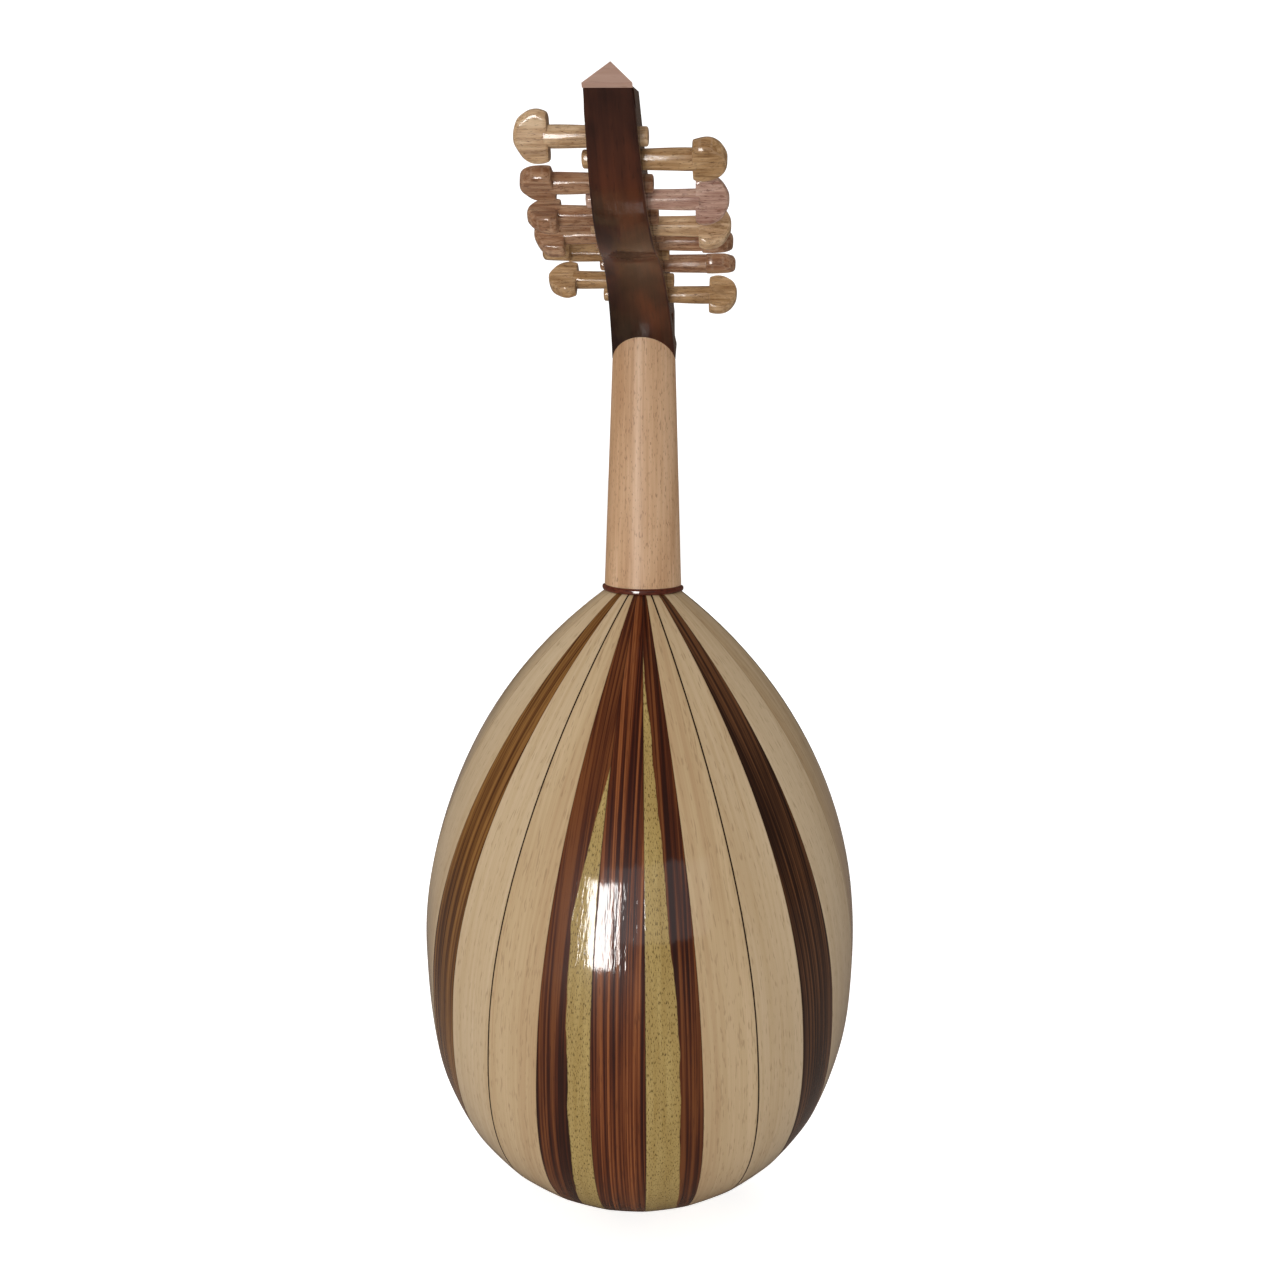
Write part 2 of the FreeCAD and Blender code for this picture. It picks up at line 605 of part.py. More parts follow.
def make_nut():
    """A bone bar across the end of the fingerboard, with its string edge rounded."""
    owner = body("nut")
    foot = sketch_on(owner, "XY_Plane", "nut_section")
    rectangle(foot, 2 * size("nut_half_width"), size("nut_height"),
              f"2 * {cell('nut_half_width')}", cell("nut_height"))
    bar = pad(owner, foot, cell("nut_length"), "nut_bar")
    doc.recompute()
    top = [f"Edge{number}" for number, edge in enumerate(bar.Shape.Edges, start=1)
           if edge.BoundBox.YMax < 0 and edge.BoundBox.XLength > size("nut_half_width")]
    rounding = owner.newObject("PartDesign::Fillet", "nut_rounding")
    rounding.Base = (bar, top)
    rounding.setExpression("Radius", f"{cell('nut_length')} / 4")
    placed(owner, 0, -size("nut_height") / 2, -size("nut_length"))


# ---------------------------------------------------------------- pegbox

def back_heading(run):
    """Heading of the pegbox's back face at a run along it, in radians from +Z towards +Y."""
    first, second = size("first_arc_length"), size("second_arc_length")
    start, bend, end = (math.radians(size(name)) for name in
                        ("pegbox_start_angle", "pegbox_bend_angle", "pegbox_end_angle"))
    if run < first:
        return start + (bend - start) * run / first
    if run < first + second:
        return bend + (end - bend) * (run - first) / second
    return end


def back_run_length():
    """Length of the pegbox's back face."""
    return size("first_arc_length") + size("second_arc_length") + size("flat_end_length")


def seam_apex():
    """Where the sloping seam meets the neck's back: its distance from the flat top and its height."""
    slope = math.tan(math.radians(size("seam_angle")))
    thinning = (size("neck_depth") - size("nut_depth")) / (size("neck_length") - size("ring_thickness"))
    back = (size("nut_depth") + thinning * size("seam_drop")) / (1 + thinning * slope)
    return back, back * slope - size("seam_drop")


def back_point(run, depth=0.0, x=0.0):
    """A point at a run along the back face and a depth in front of it.

    The face turns at an even rate within each arc, so each arc is walked in closed form.
    """
    y, z = seam_apex()
    walked = 0.0
    for stretch in (size("first_arc_length"), size("second_arc_length"), size("flat_end_length")):
        part = min(max(run - walked, 0.0), stretch)
        low, high = back_heading(walked), back_heading(walked + part - 1e-9)
        if abs(high - low) > 1e-6:
            y += part * (math.cos(low) - math.cos(high)) / (high - low)
            z += part * (math.sin(high) - math.sin(low)) / (high - low)
        else:
            y += part * math.sin(low)
            z += part * math.cos(low)
        walked += stretch
    heading = back_heading(run)
    return Vector(x, y - depth * math.cos(heading), z + depth * math.sin(heading))


def wall_depth(run):
    """Depth of the side walls at a run along the back face."""
    root, tip = size("root_depth"), size("tip_depth")
    return root + (tip - root) * run / back_run_length()


def back_edges(depth, start, end):
    """Edges along the back face at one depth, as true arcs and a line."""
    first = size("first_arc_length")
    breaks = [first, first + size("second_arc_length")]
    marks = [start] + [mark for mark in breaks if start < mark < end] + [end]
    edges = []
    for low, high in zip(marks, marks[1:]):
        ends = [back_point(run, depth) for run in (low, (low + high) / 2, high)]
        if low >= breaks[1]:
            edges.append(Part.makeLine(ends[0], ends[2]))
        else:
            edges.append(Part.Arc(*ends).toShape())
    return edges


FRONT_STATIONS = 12


def front_edge(start, end):
    """The walls' front edge, a smooth curve that comes nearer to the back towards the tip.

    From the heel on it starts at the middle of the neck's end, beside the nut.
    """
    runs = [start + (end - start) * step / FRONT_STATIONS for step in range(FRONT_STATIONS + 1)]
    points = [back_point(run, wall_depth(run)) for run in runs]
    if start <= size("heel_length"):
        points[0] = Vector(0, 0, 0)
    return spline_edge(points)


def profile_solid(edges):
    """A side profile in the YZ plane, extruded well past both walls."""
    reach = 2 * size("nut_half_width")
    loose = [edge for shape in edges for edge in shape.Edges]
    wire = Part.Wire(Part.__sortEdges__(loose))
    wire.translate(Vector(-reach, 0, 0))
    return Part.Face(wire).extrude(Vector(2 * reach, 0, 0))


def half_width_at(y, z):
    """Half-width of the pegbox beside a point, which tapers evenly along its chord."""
    start, end = back_point(0), back_point(back_run_length())
    chord = end - start
    share = ((y - start.y) * chord.y + (z - start.z) * chord.z) / chord.Length ** 2
    return size("nut_half_width") + (size("tip_half_width") - size("nut_half_width")) * share


WEDGE_DEPTHS = 4  # how far the wedge reaches each side of the pegbox's chord, in root depths
WEDGE_SPARE = 0.5  # how far it runs past each end, in chords


def taper_solid(inset, side=None):
    """A wedge between the planes of the two side walls, moved in by inset, or one half of it."""
    start, end = back_point(0), back_point(back_run_length())
    chord = end - start
    across = Vector(0, -chord.z, chord.y).normalize()
    slack = size("root_depth") * WEDGE_DEPTHS
    low, high = start - chord * WEDGE_SPARE, end + chord * WEDGE_SPARE
    half_low, half_high = half_width_at(low.y, low.z) - inset, half_width_at(high.y, high.z) - inset
    left_low, left_high = half_low, half_high
    right_low, right_high = -half_low, -half_high
    if side == 1:
        right_low = right_high = 0.0
    if side == -1:
        left_low = left_high = 0.0
    lift = across * slack
    corners = [low + Vector(left_low, 0, 0) - lift, high + Vector(left_high, 0, 0) - lift,
               high + Vector(right_high, 0, 0) - lift, low + Vector(right_low, 0, 0) - lift]
    return polygon_face(corners).extrude(lift * 2)


BEVEL_SPARE = 3  # how much larger than the corner each cutter's face is


def tip_bevels():
    """The two corners cut off the pegbox's end, so that its end face is a triangle."""
    end, depth, half = back_run_length(), size("tip_depth"), size("tip_half_width")
    cutters = []
    for side in (1, -1):
        back_corner = back_point(end, 0, side * half)
        apex = back_point(end, depth, 0)
        front_corner = back_point(end - size("tip_bevel"), depth, side * half)
        middle = (back_corner + apex + front_corner) * (1 / 3)
        base = [middle + (corner - middle) * BEVEL_SPARE for corner in (back_corner, apex, front_corner)]
        normal = (base[1] - base[0]).cross(base[2] - base[0]).normalize()
        if normal.dot(back_point(end, depth, side * half) - middle) < 0:
            normal = normal * -1
        cutters.append(polygon_face(base).extrude(normal * size("root_depth") * 2))
    return cutters


def peg_axes():
    """Every peg as (label, side, place on its axis at X = 0, half-width there, reach, turn)."""
    pegs = []
    for label, side in (("left", 1), ("right", -1)):
        for number in range(PEGS_PER_SIDE):
            run = size(f"peg_first_{label}") + number * size("peg_pitch")
            centre = back_point(run, size("peg_setback"))
            half = half_width_at(centre.y, centre.z)
            turn = PEG_TURNS[label][number]
            pegs.append((f"peg_{label}_{number + 1}", side, centre, half, size(f"peg_reach_{label}"), turn))
    return pegs


def peg_radius(distance):
    """Radius of a peg's shaft at a distance from its head: an even collar, then an even taper."""
    return size("peg_big_radius") - size("peg_taper") * max(distance - size("peg_collar"), 0)


def shaft_length(half, reach):
    """From the head's flat side to the peg's tip, past both walls."""
    return reach + 2 * half + size("peg_tip_reach")


def peg_holes():
    """Tapered holes for every shaft, with its running clearance."""
    holes = []
    collar, gap = size("peg_collar"), size("peg_clearance")
    for _, side, centre, half, reach, _ in peg_axes():
        length = shaft_length(half, reach)
        start = centre + Vector(side * (half + reach - collar), 0, 0)
        holes.append(Part.makeCone(peg_radius(collar) + gap, peg_radius(length) + gap, length - collar,
                                   start, Vector(-side, 0, 0)))
    return holes


def make_pegbox():
    """Heel, back plate, two side walls with peg holes, end block and the triangular end plate."""
    heel_run, end = size("heel_length"), back_run_length()
    block_run = end - size("end_block_length")
    back, wall = size("back_thickness"), size("wall_thickness")
    full, inner = taper_solid(0.0), taper_solid(wall)
    bevels = tip_bevels()

    nut_line, seam_front = Vector(0, 0, 0), Vector(0, 0, -size("seam_drop"))
    heel_top = back_point(heel_run, back)
    heel_edges = back_edges(0.0, 0.0, heel_run)
    corners = [back_point(0), seam_front, nut_line, heel_top, back_point(heel_run)]
    heel_edges.append(Part.makePolygon(corners))
    heel = profile_solid(heel_edges).common(full)
    feature("pegbox_heel", heel.common(heel_round()))

    plate = back_edges(0.0, heel_run, end) + back_edges(back, heel_run, end)
    plate += [Part.makeLine(back_point(run), back_point(run, back)) for run in (heel_run, end)]
    feature("pegbox_back", profile_solid(plate).common(full).cut(bevels))

    wall_edges = back_edges(back, heel_run, end) + [front_edge(heel_run, end)]
    wall_edges.append(Part.makeLine(heel_top, nut_line))
    wall_edges.append(Part.makeLine(back_point(end, back), back_point(end, wall_depth(end))))
    walls = profile_solid(wall_edges).common(full).cut(inner).cut(bevels).cut(peg_holes())
    for label, side in (("left", 1), ("right", -1)):
        feature(f"pegbox_wall_{label}", walls.common(taper_solid(0.0, side)))

    block = back_edges(back, block_run, end) + [front_edge(block_run, end)]
    block += [Part.makeLine(back_point(run, back), back_point(run, wall_depth(run)))
              for run in (block_run, end)]
    feature("pegbox_end_block", profile_solid(block).common(inner).cut(bevels))

    heading = back_heading(end)
    corners = [back_point(end, 0, size("tip_half_width")), back_point(end, size("tip_depth"), 0),
               back_point(end, 0, -size("tip_half_width"))]
    along = Vector(0, math.sin(heading), math.cos(heading))
    feature("pegbox_tip", polygon_face(corners).extrude(along * size("tip_thickness")))


HEEL_LEAD = 0.5  # how far the rounding starts below the seam
HEEL_REACH = 33.5  # how far it runs past the back plate's two thicknesses
HEEL_FLARE = 2.6  # how much wider it has grown at its far end
HEEL_SINK = 8.0  # how far its foot sinks for each time it grows by its own size
HEEL_SKIRT = 3.0  # depth below the seam's chord, in radii


def heel_round():
    """A flaring half cone that rounds the heel to the neck's section at the seam."""
    slope = math.radians(size("seam_angle"))
    along = Vector(0, -math.sin(slope), math.cos(slope))
    seam_share = 1 - size("seam_drop") / size("neck_length")
    half = size("neck_half_width") + (size("nut_half_width") - size("neck_half_width")) * seam_share
    depth = seam_apex()[0] / math.cos(slope)
    wires = []
    rise = Vector(0, math.cos(slope), math.sin(slope))
    for lift, grow in ((-HEEL_LEAD, 1.0), (0.0, 1.0), (2 * size("back_thickness") + HEEL_REACH, HEEL_FLARE)):
        radius = (half ** 2 + depth ** 2) / (2 * depth) * grow
        foot = Vector(0, 0, -size("seam_drop")) + along * lift - rise * (grow - 1) * HEEL_SINK
        left, right = foot + Vector(half * grow, 0, 0), foot - Vector(half * grow, 0, 0)
        top = foot + rise * depth * grow
        below = rise * -radius * HEEL_SKIRT
        wires.append(Part.Wire([Part.Arc(left, top, right).toShape(),
                                Part.makeLine(right, right + below),
                                Part.makeLine(right + below, left + below),
                                Part.makeLine(left + below, left)]))
    return Part.makeLoft(wires, True, True)


# ---------------------------------------------------------------- pegs

def make_peg(name, side, centre, half, reach, turn):
    """A tapered shaft and a half-moon head; its own X axis runs from the tip out to the head."""
    owner = body(name)
    length = shaft_length(half, reach)
    near, far = peg_radius(0), peg_radius(length)
    section = sketch_on(owner, "XY_Plane", f"{name}_section")
    collar = length - size("peg_collar")
    closed_polygon(section, [(0, 0), (length, 0), (length, near), (collar, near), (0, far)])
    section.addConstraint(Sketcher.Constraint("Coincident", 0, 1, -1, 1))
    section.addConstraint(Sketcher.Constraint("Horizontal", 0))
    section.addConstraint(Sketcher.Constraint("Vertical", 1))
    section.addConstraint(Sketcher.Constraint("Horizontal", 2))
    section.addConstraint(Sketcher.Constraint("Vertical", 4))
    reach_cell = cell("peg_reach_left") if side > 0 else cell("peg_reach_right")
    length_cell = f"{reach_cell} + {2 * half:.6f} + {cell('peg_tip_reach')}"
    section.setExpression(bound(section, "long", "DistanceX", 0, 1, 0, 2, length), length_cell)
    section.setExpression(bound(section, "near", "DistanceY", 1, 1, 1, 2, near), cell("peg_big_radius"))
    section.setExpression(bound(section, "collar", "DistanceX", 2, 2, 2, 1, size("peg_collar")),
                          cell("peg_collar"))
    section.setExpression(bound(section, "far", "DistanceY", 4, 2, 4, 1, far),
                          f"{cell('peg_big_radius')} - {cell('peg_taper')} * ({length_cell}"
                          f" - {cell('peg_collar')})")
    turned = owner.newObject("PartDesign::Revolution", f"{name}_shaft")
    turned.Profile = section
    turned.ReferenceAxis = (section, ["H_Axis"])
    turned.Angle = 360
    doc.recompute()

    moon = sketch_on(owner, "XY_Plane", f"{name}_moon")
    wide, tall, bite = size("head_half_width"), size("head_length"), size("head_overlap")
    start = length - bite
    radius = (wide ** 2 + tall ** 2) / (2 * tall)
    middle = start + tall - radius
    swing = math.atan2(wide, start - middle)
    circle = Part.Circle(Vector(middle, 0, 0), Vector(0, 0, 1), radius)
    moon.addGeometry(Part.ArcOfCircle(circle, -swing, swing), False)
    moon.addGeometry(Part.LineSegment(Vector(start, wide, 0), Vector(start, -wide, 0)), False)
    moon.addConstraint(Sketcher.Constraint("Coincident", 0, 2, 1, 1))
    moon.addConstraint(Sketcher.Constraint("Coincident", 1, 2, 0, 1))
    moon.addConstraint(Sketcher.Constraint("Symmetric", 1, 1, 1, 2, -1))
    moon.setExpression(bound(moon, "flat", "DistanceY", 1, 2, 1, 1, 2 * wide),
                       f"2 * {cell('head_half_width')}")
    moon.setExpression(bound(moon, "start", "DistanceX", -1, 1, 1, 1, start),
                       f"{length_cell} - {cell('head_overlap')}")
    moon.setExpression(bound(moon, "round", "Radius", 0, radius),
                       f"({cell('head_half_width')} ^ 2 + {cell('head_length')} ^ 2)"
                       f" / (2 * {cell('head_length')})")
    head = pad(owner, moon, cell("head_thickness"), f"{name}_head", both_ways=True)
    doc.recompute()
    curved = [f"Edge{number}" for number, edge in enumerate(head.Shape.Edges, start=1)
              if isinstance(edge.Curve, Part.Circle) and abs(edge.Curve.Axis.z) > 0.9
              and abs(edge.Curve.Radius - radius) < 1e-3]
    rounding = owner.newObject("PartDesign::Fillet", f"{name}_rounding")
    rounding.Base = (head, curved)
    rounding.setExpression("Radius", f"min({cell('head_edge_radius')}; {cell('head_thickness')} / 3)")
    turn_back = Rotation(Vector(0, 0, 1), 0 if side > 0 else 180)
    spin = Rotation(Vector(1, 0, 0), turn)
    tip = centre + Vector(-side * (half + size("peg_tip_reach")), 0, 0)
    placed(owner, tip.x, tip.y, tip.z, spin * turn_back)


# ---------------------------------------------------------------- bridge and strings

def make_bridge():
    """The bridge: a low bar glued to the soundboard, bored for every string."""
    owner = body("bridge")
    foot = sketch_on(owner, "XZ_Plane", "bridge_foot")
    rectangle(foot, size("bridge_length"), size("bridge_width"), cell("bridge_length"), cell("bridge_width"))
    bar = pad(owner, foot, cell("bridge_height"), "bridge_bar")
    doc.recompute()
    ends = [f"Edge{number}" for number, edge in enumerate(bar.Shape.Edges, start=1)
            if edge.BoundBox.YMax < -size("bridge_height") / 2]
    rounding = owner.newObject("PartDesign::Fillet", "bridge_rounding")
    rounding.Base = (bar, ends)
    rounding.setExpression("Radius", f"{cell('bridge_height')} / 4")
    doc.recompute()
    bores = sketch_on(owner, "XY_Plane", "bridge_bores")
    for index, (x, _) in enumerate(string_places("course_spread_bridge")):
        circle_in(bores, x, -size("bridge_height") / 2, size("bridge_hole_radius"),
                  cell("bridge_hole_radius"), f"bore_{index + 1}")
        bores.setExpression(bound(bores, f"rise_{index + 1}", "DistanceY", index, 3, -1, 1,
                                  size("bridge_height") / 2), f"{cell('bridge_height')} / 2")
        bores.addConstraint(Sketcher.Constraint("DistanceX", -1, 1, index, 3, x))
    pocket_through(owner, bores, "bridge_holes")
    placed(owner, 0, -size("board_thickness"), JOINT_Z - size("bridge_drop"))


def string_places(spread_name):
    """X and radius of every string, from right to left, in courses of two."""
    places = []
    spread = size(spread_name)
    for course in range(COURSES):
        middle = spread * (course / (COURSES - 1) - 0.5)
        share = course / (COURSES - 1)
        low, high = size("string_radius_low"), size("string_radius_high")
        radius = high + (low - high) * share
        for pair in (-0.5, 0.5):
            places.append((middle + pair * size("pair_gap"), radius))
    return places


def string_pegs():
    """The pegs that each string passes, its own last; from right to left, so that no two cross."""
    left = [peg for peg in peg_axes() if peg[1] > 0]
    right = [peg for peg in peg_axes() if peg[1] < 0]
    along = sorted(left + right, key=lambda peg: peg[2].y)
    return [along[:along.index(peg) + 1] for peg in right + left[::-1]]


def bend_edge(before, corner, after):
    """An arc that rounds a corner between two points at the same distance from it."""
    middle = (before + after) * 0.5
    inward = (corner - middle).Length
    arm = (corner - before).Length
    half_chord = (after - before).Length / 2
    radius = half_chord * arm / inward
    centre = middle + (middle - corner).normalize() * math.sqrt(max(radius ** 2 - half_chord ** 2, 0))
    crest = centre + (corner - centre).normalize() * radius
    return Part.Arc(before, crest, after).toShape()


def front_of(heading):
    """Unit vector square to a heading, towards the open front of the pegbox."""
    return Vector(0, -math.cos(heading), math.sin(heading))


def taut_bends(start, pegs, reach):
    """Where a string bends in front of the nearer pegs: (peg's centre, heading before, heading after).

    The string passes every centre at the distance reach, and ends where it meets the last peg.
    """
    bends, here, ahead, arriving = [], start, list(pegs), None
    while ahead:
        headings = []
        for peg in ahead:
            gap = peg[2] - here
            gap.x = 0
            lean = math.asin(reach / gap.Length) if not bends else 0.0
            headings.append(math.atan2(gap.y, gap.z) - lean)
        nearest = headings.index(min(headings))
        if bends:
            bends[-1][2] = headings[nearest]
        here = Vector(0, ahead[nearest][2].y, ahead[nearest][2].z)
        bends.append([here, headings[nearest], headings[nearest]])
        ahead = ahead[nearest + 1:]
    return bends


def string_route(over_nut, pegs, radius):
    """Bends of a string behind the nut, each as (before, corner, after), with its end on the peg."""
    reach = size("peg_big_radius") + radius + size("string_clearance")
    bends = taut_bends(over_nut, pegs, reach)
    last = pegs[-1][2]
    wall = size("wall_thickness")
    narrowing = (size("string_gather") * (half_width_at(last.y, last.z) - wall)
                 / (size("nut_half_width") - wall))
    whole = math.hypot(last.y - over_nut.y, last.z - over_nut.z)
    route = []
    for centre, heading_in, heading_out in bends:
        middle = (heading_in + heading_out) / 2
        before, after = centre + front_of(heading_in) * reach, centre + front_of(heading_out) * reach
        corner = centre + front_of(middle) * (reach / math.cos(middle - heading_in))
        for point in (before, corner, after):
            gone = math.hypot(point.y - over_nut.y, point.z - over_nut.z) / whole
            point.x = over_nut.x * (1 - (1 - narrowing) * min(gone, 1))
        route.append((before, corner, after))
    return route


def string_solid(x_nut, x_bridge, radius, pegs):
    """One taut string: from its bore in the bridge over the nut, in front of the nearer pegs, to its own."""
    over_nut = Vector(x_nut, -size("nut_height") - radius - size("nut_gap"), size("nut_crown"))
    in_bridge = Vector(x_bridge, -size("board_thickness") - size("bridge_height") / 2,
                       JOINT_Z - size("bridge_drop"))
    at_bridge = in_bridge - (over_nut - in_bridge).normalize() * (size("bridge_width") / 2)
    route = string_route(over_nut, pegs, radius)
    bend = size("string_bend")
    before = over_nut + (at_bridge - over_nut).normalize() * bend
    after = over_nut + (route[0][0] - over_nut).normalize() * bend
    edges = [Part.makeLine(at_bridge, before), bend_edge(before, over_nut, after)]
    for near, corner, far in route[:-1]:
        edges += [Part.makeLine(after, near), bend_edge(near, corner, far)]
        after = far
    edges.append(Part.makeLine(after, route[-1][0]))
    section = Part.Wire(Part.makeCircle(radius, at_bridge, before - at_bridge))
    return Part.Wire(edges).makePipeShell([section], True, True)


def make_strings():
    """Six courses of two strings, a node to each course."""
    nut, bridge = string_places("course_spread_nut"), string_places("course_spread_bridge")
    pegs = string_pegs()
    for course in range(COURSES):
        pair = []
        for index in (2 * course, 2 * course + 1):
            pair.append(string_solid(nut[index][0], bridge[index][0], nut[index][1], pegs[index]))
        feature(f"string_course_{course + 1}", Part.makeCompound(pair))


# ---------------------------------------------------------------- build, check, write

HELPERS = ("bowl_inside", "bowl_inside_lined")


def make_all():
    """Build every sub-part, from the bowl up to the strings."""
    make_ribs()
    make_end_cap()
    make_bowl_inside_parts()
    make_soundboard()
    for name, (x, z, _) in hole_places().items():
        make_rosette(name, x, z, *PETALS[name])
    make_guard()
    make_neck()
    make_neck_ring()
    make_fingerboard()
    make_nut()
    make_pegbox()
    for peg in peg_axes():
        make_peg(*peg)
    make_bridge()
    make_strings()
    doc.recompute()


def sub_parts():
    """The objects that are written: bodies, features and the last boolean of each piece."""
    used = {item for obj in doc.Objects if obj.TypeId.startswith("Part::")
            for item in obj.OutList}
    kinds = ("PartDesign::Body", "Part::Feature", "Part::Cut", "Part::Common")
    return [obj for obj in doc.Objects
            if obj.TypeId in kinds and obj not in used and obj.Label not in HELPERS]


def check_and_write():
    """Refuse a failed object or an invalid shape, then write one file for each sub-part."""
    failed = [obj.Name for obj in doc.Objects if {"Invalid", "Error"} & set(obj.State)]
    if failed:
        raise RuntimeError(f"these objects failed: {failed}")
    for obj in sub_parts():
        if obj.Shape.isNull() or not obj.Shape.isValid() or not obj.Shape.Solids:
            raise RuntimeError(f"{obj.Label} has no valid solid")
    os.makedirs("parts", exist_ok=True)
    for obj in sub_parts():
        obj.Shape.exportStep(f"parts/{obj.Label}.step")
        print(f"{obj.Label}: {len(obj.Shape.Solids)} solid(s), {obj.Shape.Volume / 1000:.2f} cm3")


make_all()
check_and_write()
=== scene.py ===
"""Oud: a ribbed bowl, short neck, bent-back pegbox with carved pegs, and paired strings.

The ribs, pegs, string windings and pegbox back are surfaces worked out with numpy in the frame's own
metres, and the other parts are the CAD's own, dressed:
+Z up the neck, the soundboard facing -Y, the bowl's back +Y, the left side +X.
"""
import json
import logging
import math
from dataclasses import dataclass, field
from enum import Enum
from typing import Sequence

import bpy
import numpy as np
from mathutils import Matrix, Vector


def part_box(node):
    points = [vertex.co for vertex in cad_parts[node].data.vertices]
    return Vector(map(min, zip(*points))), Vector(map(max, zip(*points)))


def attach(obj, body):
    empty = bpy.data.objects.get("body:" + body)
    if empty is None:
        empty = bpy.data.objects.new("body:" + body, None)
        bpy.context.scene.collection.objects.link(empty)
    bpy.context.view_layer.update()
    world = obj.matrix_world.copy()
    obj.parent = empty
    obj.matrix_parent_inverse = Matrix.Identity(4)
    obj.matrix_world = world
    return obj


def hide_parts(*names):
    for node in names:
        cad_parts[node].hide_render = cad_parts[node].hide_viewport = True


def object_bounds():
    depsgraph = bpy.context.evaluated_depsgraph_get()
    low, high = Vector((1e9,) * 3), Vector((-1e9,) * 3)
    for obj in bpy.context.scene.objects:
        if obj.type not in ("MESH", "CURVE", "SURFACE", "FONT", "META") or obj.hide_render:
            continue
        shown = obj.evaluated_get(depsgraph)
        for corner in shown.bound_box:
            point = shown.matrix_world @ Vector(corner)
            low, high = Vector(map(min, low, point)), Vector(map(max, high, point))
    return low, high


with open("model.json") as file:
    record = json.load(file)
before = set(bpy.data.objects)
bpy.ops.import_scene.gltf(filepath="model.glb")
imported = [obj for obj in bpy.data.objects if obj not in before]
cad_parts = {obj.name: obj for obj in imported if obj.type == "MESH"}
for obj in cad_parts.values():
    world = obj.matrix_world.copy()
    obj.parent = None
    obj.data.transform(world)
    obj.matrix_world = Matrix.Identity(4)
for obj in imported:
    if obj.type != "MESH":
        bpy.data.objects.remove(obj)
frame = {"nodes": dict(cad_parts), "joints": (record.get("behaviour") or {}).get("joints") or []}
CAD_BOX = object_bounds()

log = logging.getLogger("oud")
Array = np.ndarray
Colour = tuple[float, float, float]
ROOT_BODY = "oud_body"


def tone(red: int, green: int, blue: int) -> Colour:
    """A display colour of 0 to 255 a channel, as linear light."""
    return tuple(((part / 255 + 0.055) / 1.055) ** 2.4 for part in (red, green, blue))


# ---------------------------------------------------------------- meshes

def grid_quads(rows: int, columns: int, around: bool = True) -> Array:
    """Quads between the neighbours of a grid of points.

    Args:
        rows: sections along the surface.
        columns: points across each section.
        around: join the last column to the first.

    Returns:
        Point numbers, four to a face.
    """
    ids = np.arange(rows * columns).reshape(rows, columns)
    following = np.roll(ids, -1, axis=1)
    last = columns if around else columns - 1
    here, there = ids[:, :last], following[:, :last]
    return np.stack([here[:-1], there[:-1], there[1:], here[1:]], axis=-1).reshape(-1, 4)


def end_fans(rows: int, columns: int) -> Array:
    """Triangles that close both ends of a loft, to one middle point each after the grid's points."""
    ring = np.arange(columns)
    following = np.roll(ring, -1)
    low, high = rows * columns, rows * columns + 1
    start = np.stack([following, ring, np.full(columns, low)], axis=-1)
    base = (rows - 1) * columns
    finish = np.stack([ring + base, following + base, np.full(columns, high)], axis=-1)
    return np.concatenate([start, finish])


@dataclass
class Solid:
    """A closed surface: its points, faces and the values that its finish reads at each point."""

    points: Array
    quads: Array
    triangles: Array
    values: dict[str, Array] = field(default_factory=dict)

    @staticmethod
    def loft(sections: Array, values: dict[str, Array] | None = None) -> "Solid":
        """A closed loft: sections of the same number of points, with each end closed by a fan.

        Args:
            sections: rows x columns x 3 points.
            values: named rows x columns (x 3) values carried by the points.

        Returns:
            The closed solid; an end's middle is the mean of its section.
        """
        rows, columns = sections.shape[:2]
        ends = sections[[0, -1]].mean(axis=1)
        points = np.concatenate([sections.reshape(-1, 3), ends])
        carried = {}
        for name, value in (values or {}).items():
            flat = value.reshape(rows * columns, -1)
            tips = value[[0, -1]].reshape(2, columns, -1).mean(axis=1)
            carried[name] = np.concatenate([flat, tips])
        return Solid(points, grid_quads(rows, columns), end_fans(rows, columns), carried)

    def joined(self, other: "Solid") -> "Solid":
        """This solid and another as one mesh."""
        count = len(self.points)
        values = {name: np.concatenate([value, other.values[name]])
                  for name, value in self.values.items()}
        return Solid(np.concatenate([self.points, other.points]),
                     np.concatenate([self.quads, other.quads + count]),
                     np.concatenate([self.triangles, other.triangles + count]), values)

    def facing_out(self) -> "Solid":
        """The same solid with its faces turned outwards, by the sign of the volume they enclose."""
        halves = np.concatenate([self.quads[:, [0, 1, 2]], self.quads[:, [0, 2, 3]], self.triangles])
        one, two, three = (self.points[halves[:, index]] for index in range(3))
        if np.einsum("ij,ij->i", one, np.cross(two, three)).sum() < 0:
            return Solid(self.points, self.quads[:, ::-1], self.triangles[:, ::-1], self.values)
        return self

    def build(self, name: str, sharp_angle: float = 35.0) -> bpy.types.Object:
        """Make the mesh object.

        Args:
            name: the piece's name.
            sharp_angle: edges that turn by more degrees than this stay sharp.

        Returns:
            The object, at the origin, linked to the scene.
        """
        mesh = bpy.data.meshes.new(name)
        faces = self.quads.tolist() + self.triangles.tolist()
        mesh.from_pydata(self.points.tolist(), [], faces)
        for label, value in self.values.items():
            kind, key = ("FLOAT_VECTOR", "vector") if value.shape[1] == 3 else ("FLOAT", "value")
            layer = mesh.attributes.new(label, kind, "POINT")
            layer.data.foreach_set(key, value.astype(np.float32).ravel())
        mesh.shade_smooth()
        mesh.set_sharp_from_angle(angle=math.radians(sharp_angle))
        mesh.validate()
        piece = bpy.data.objects.new(name, mesh)
        bpy.context.scene.collection.objects.link(piece)
        return piece


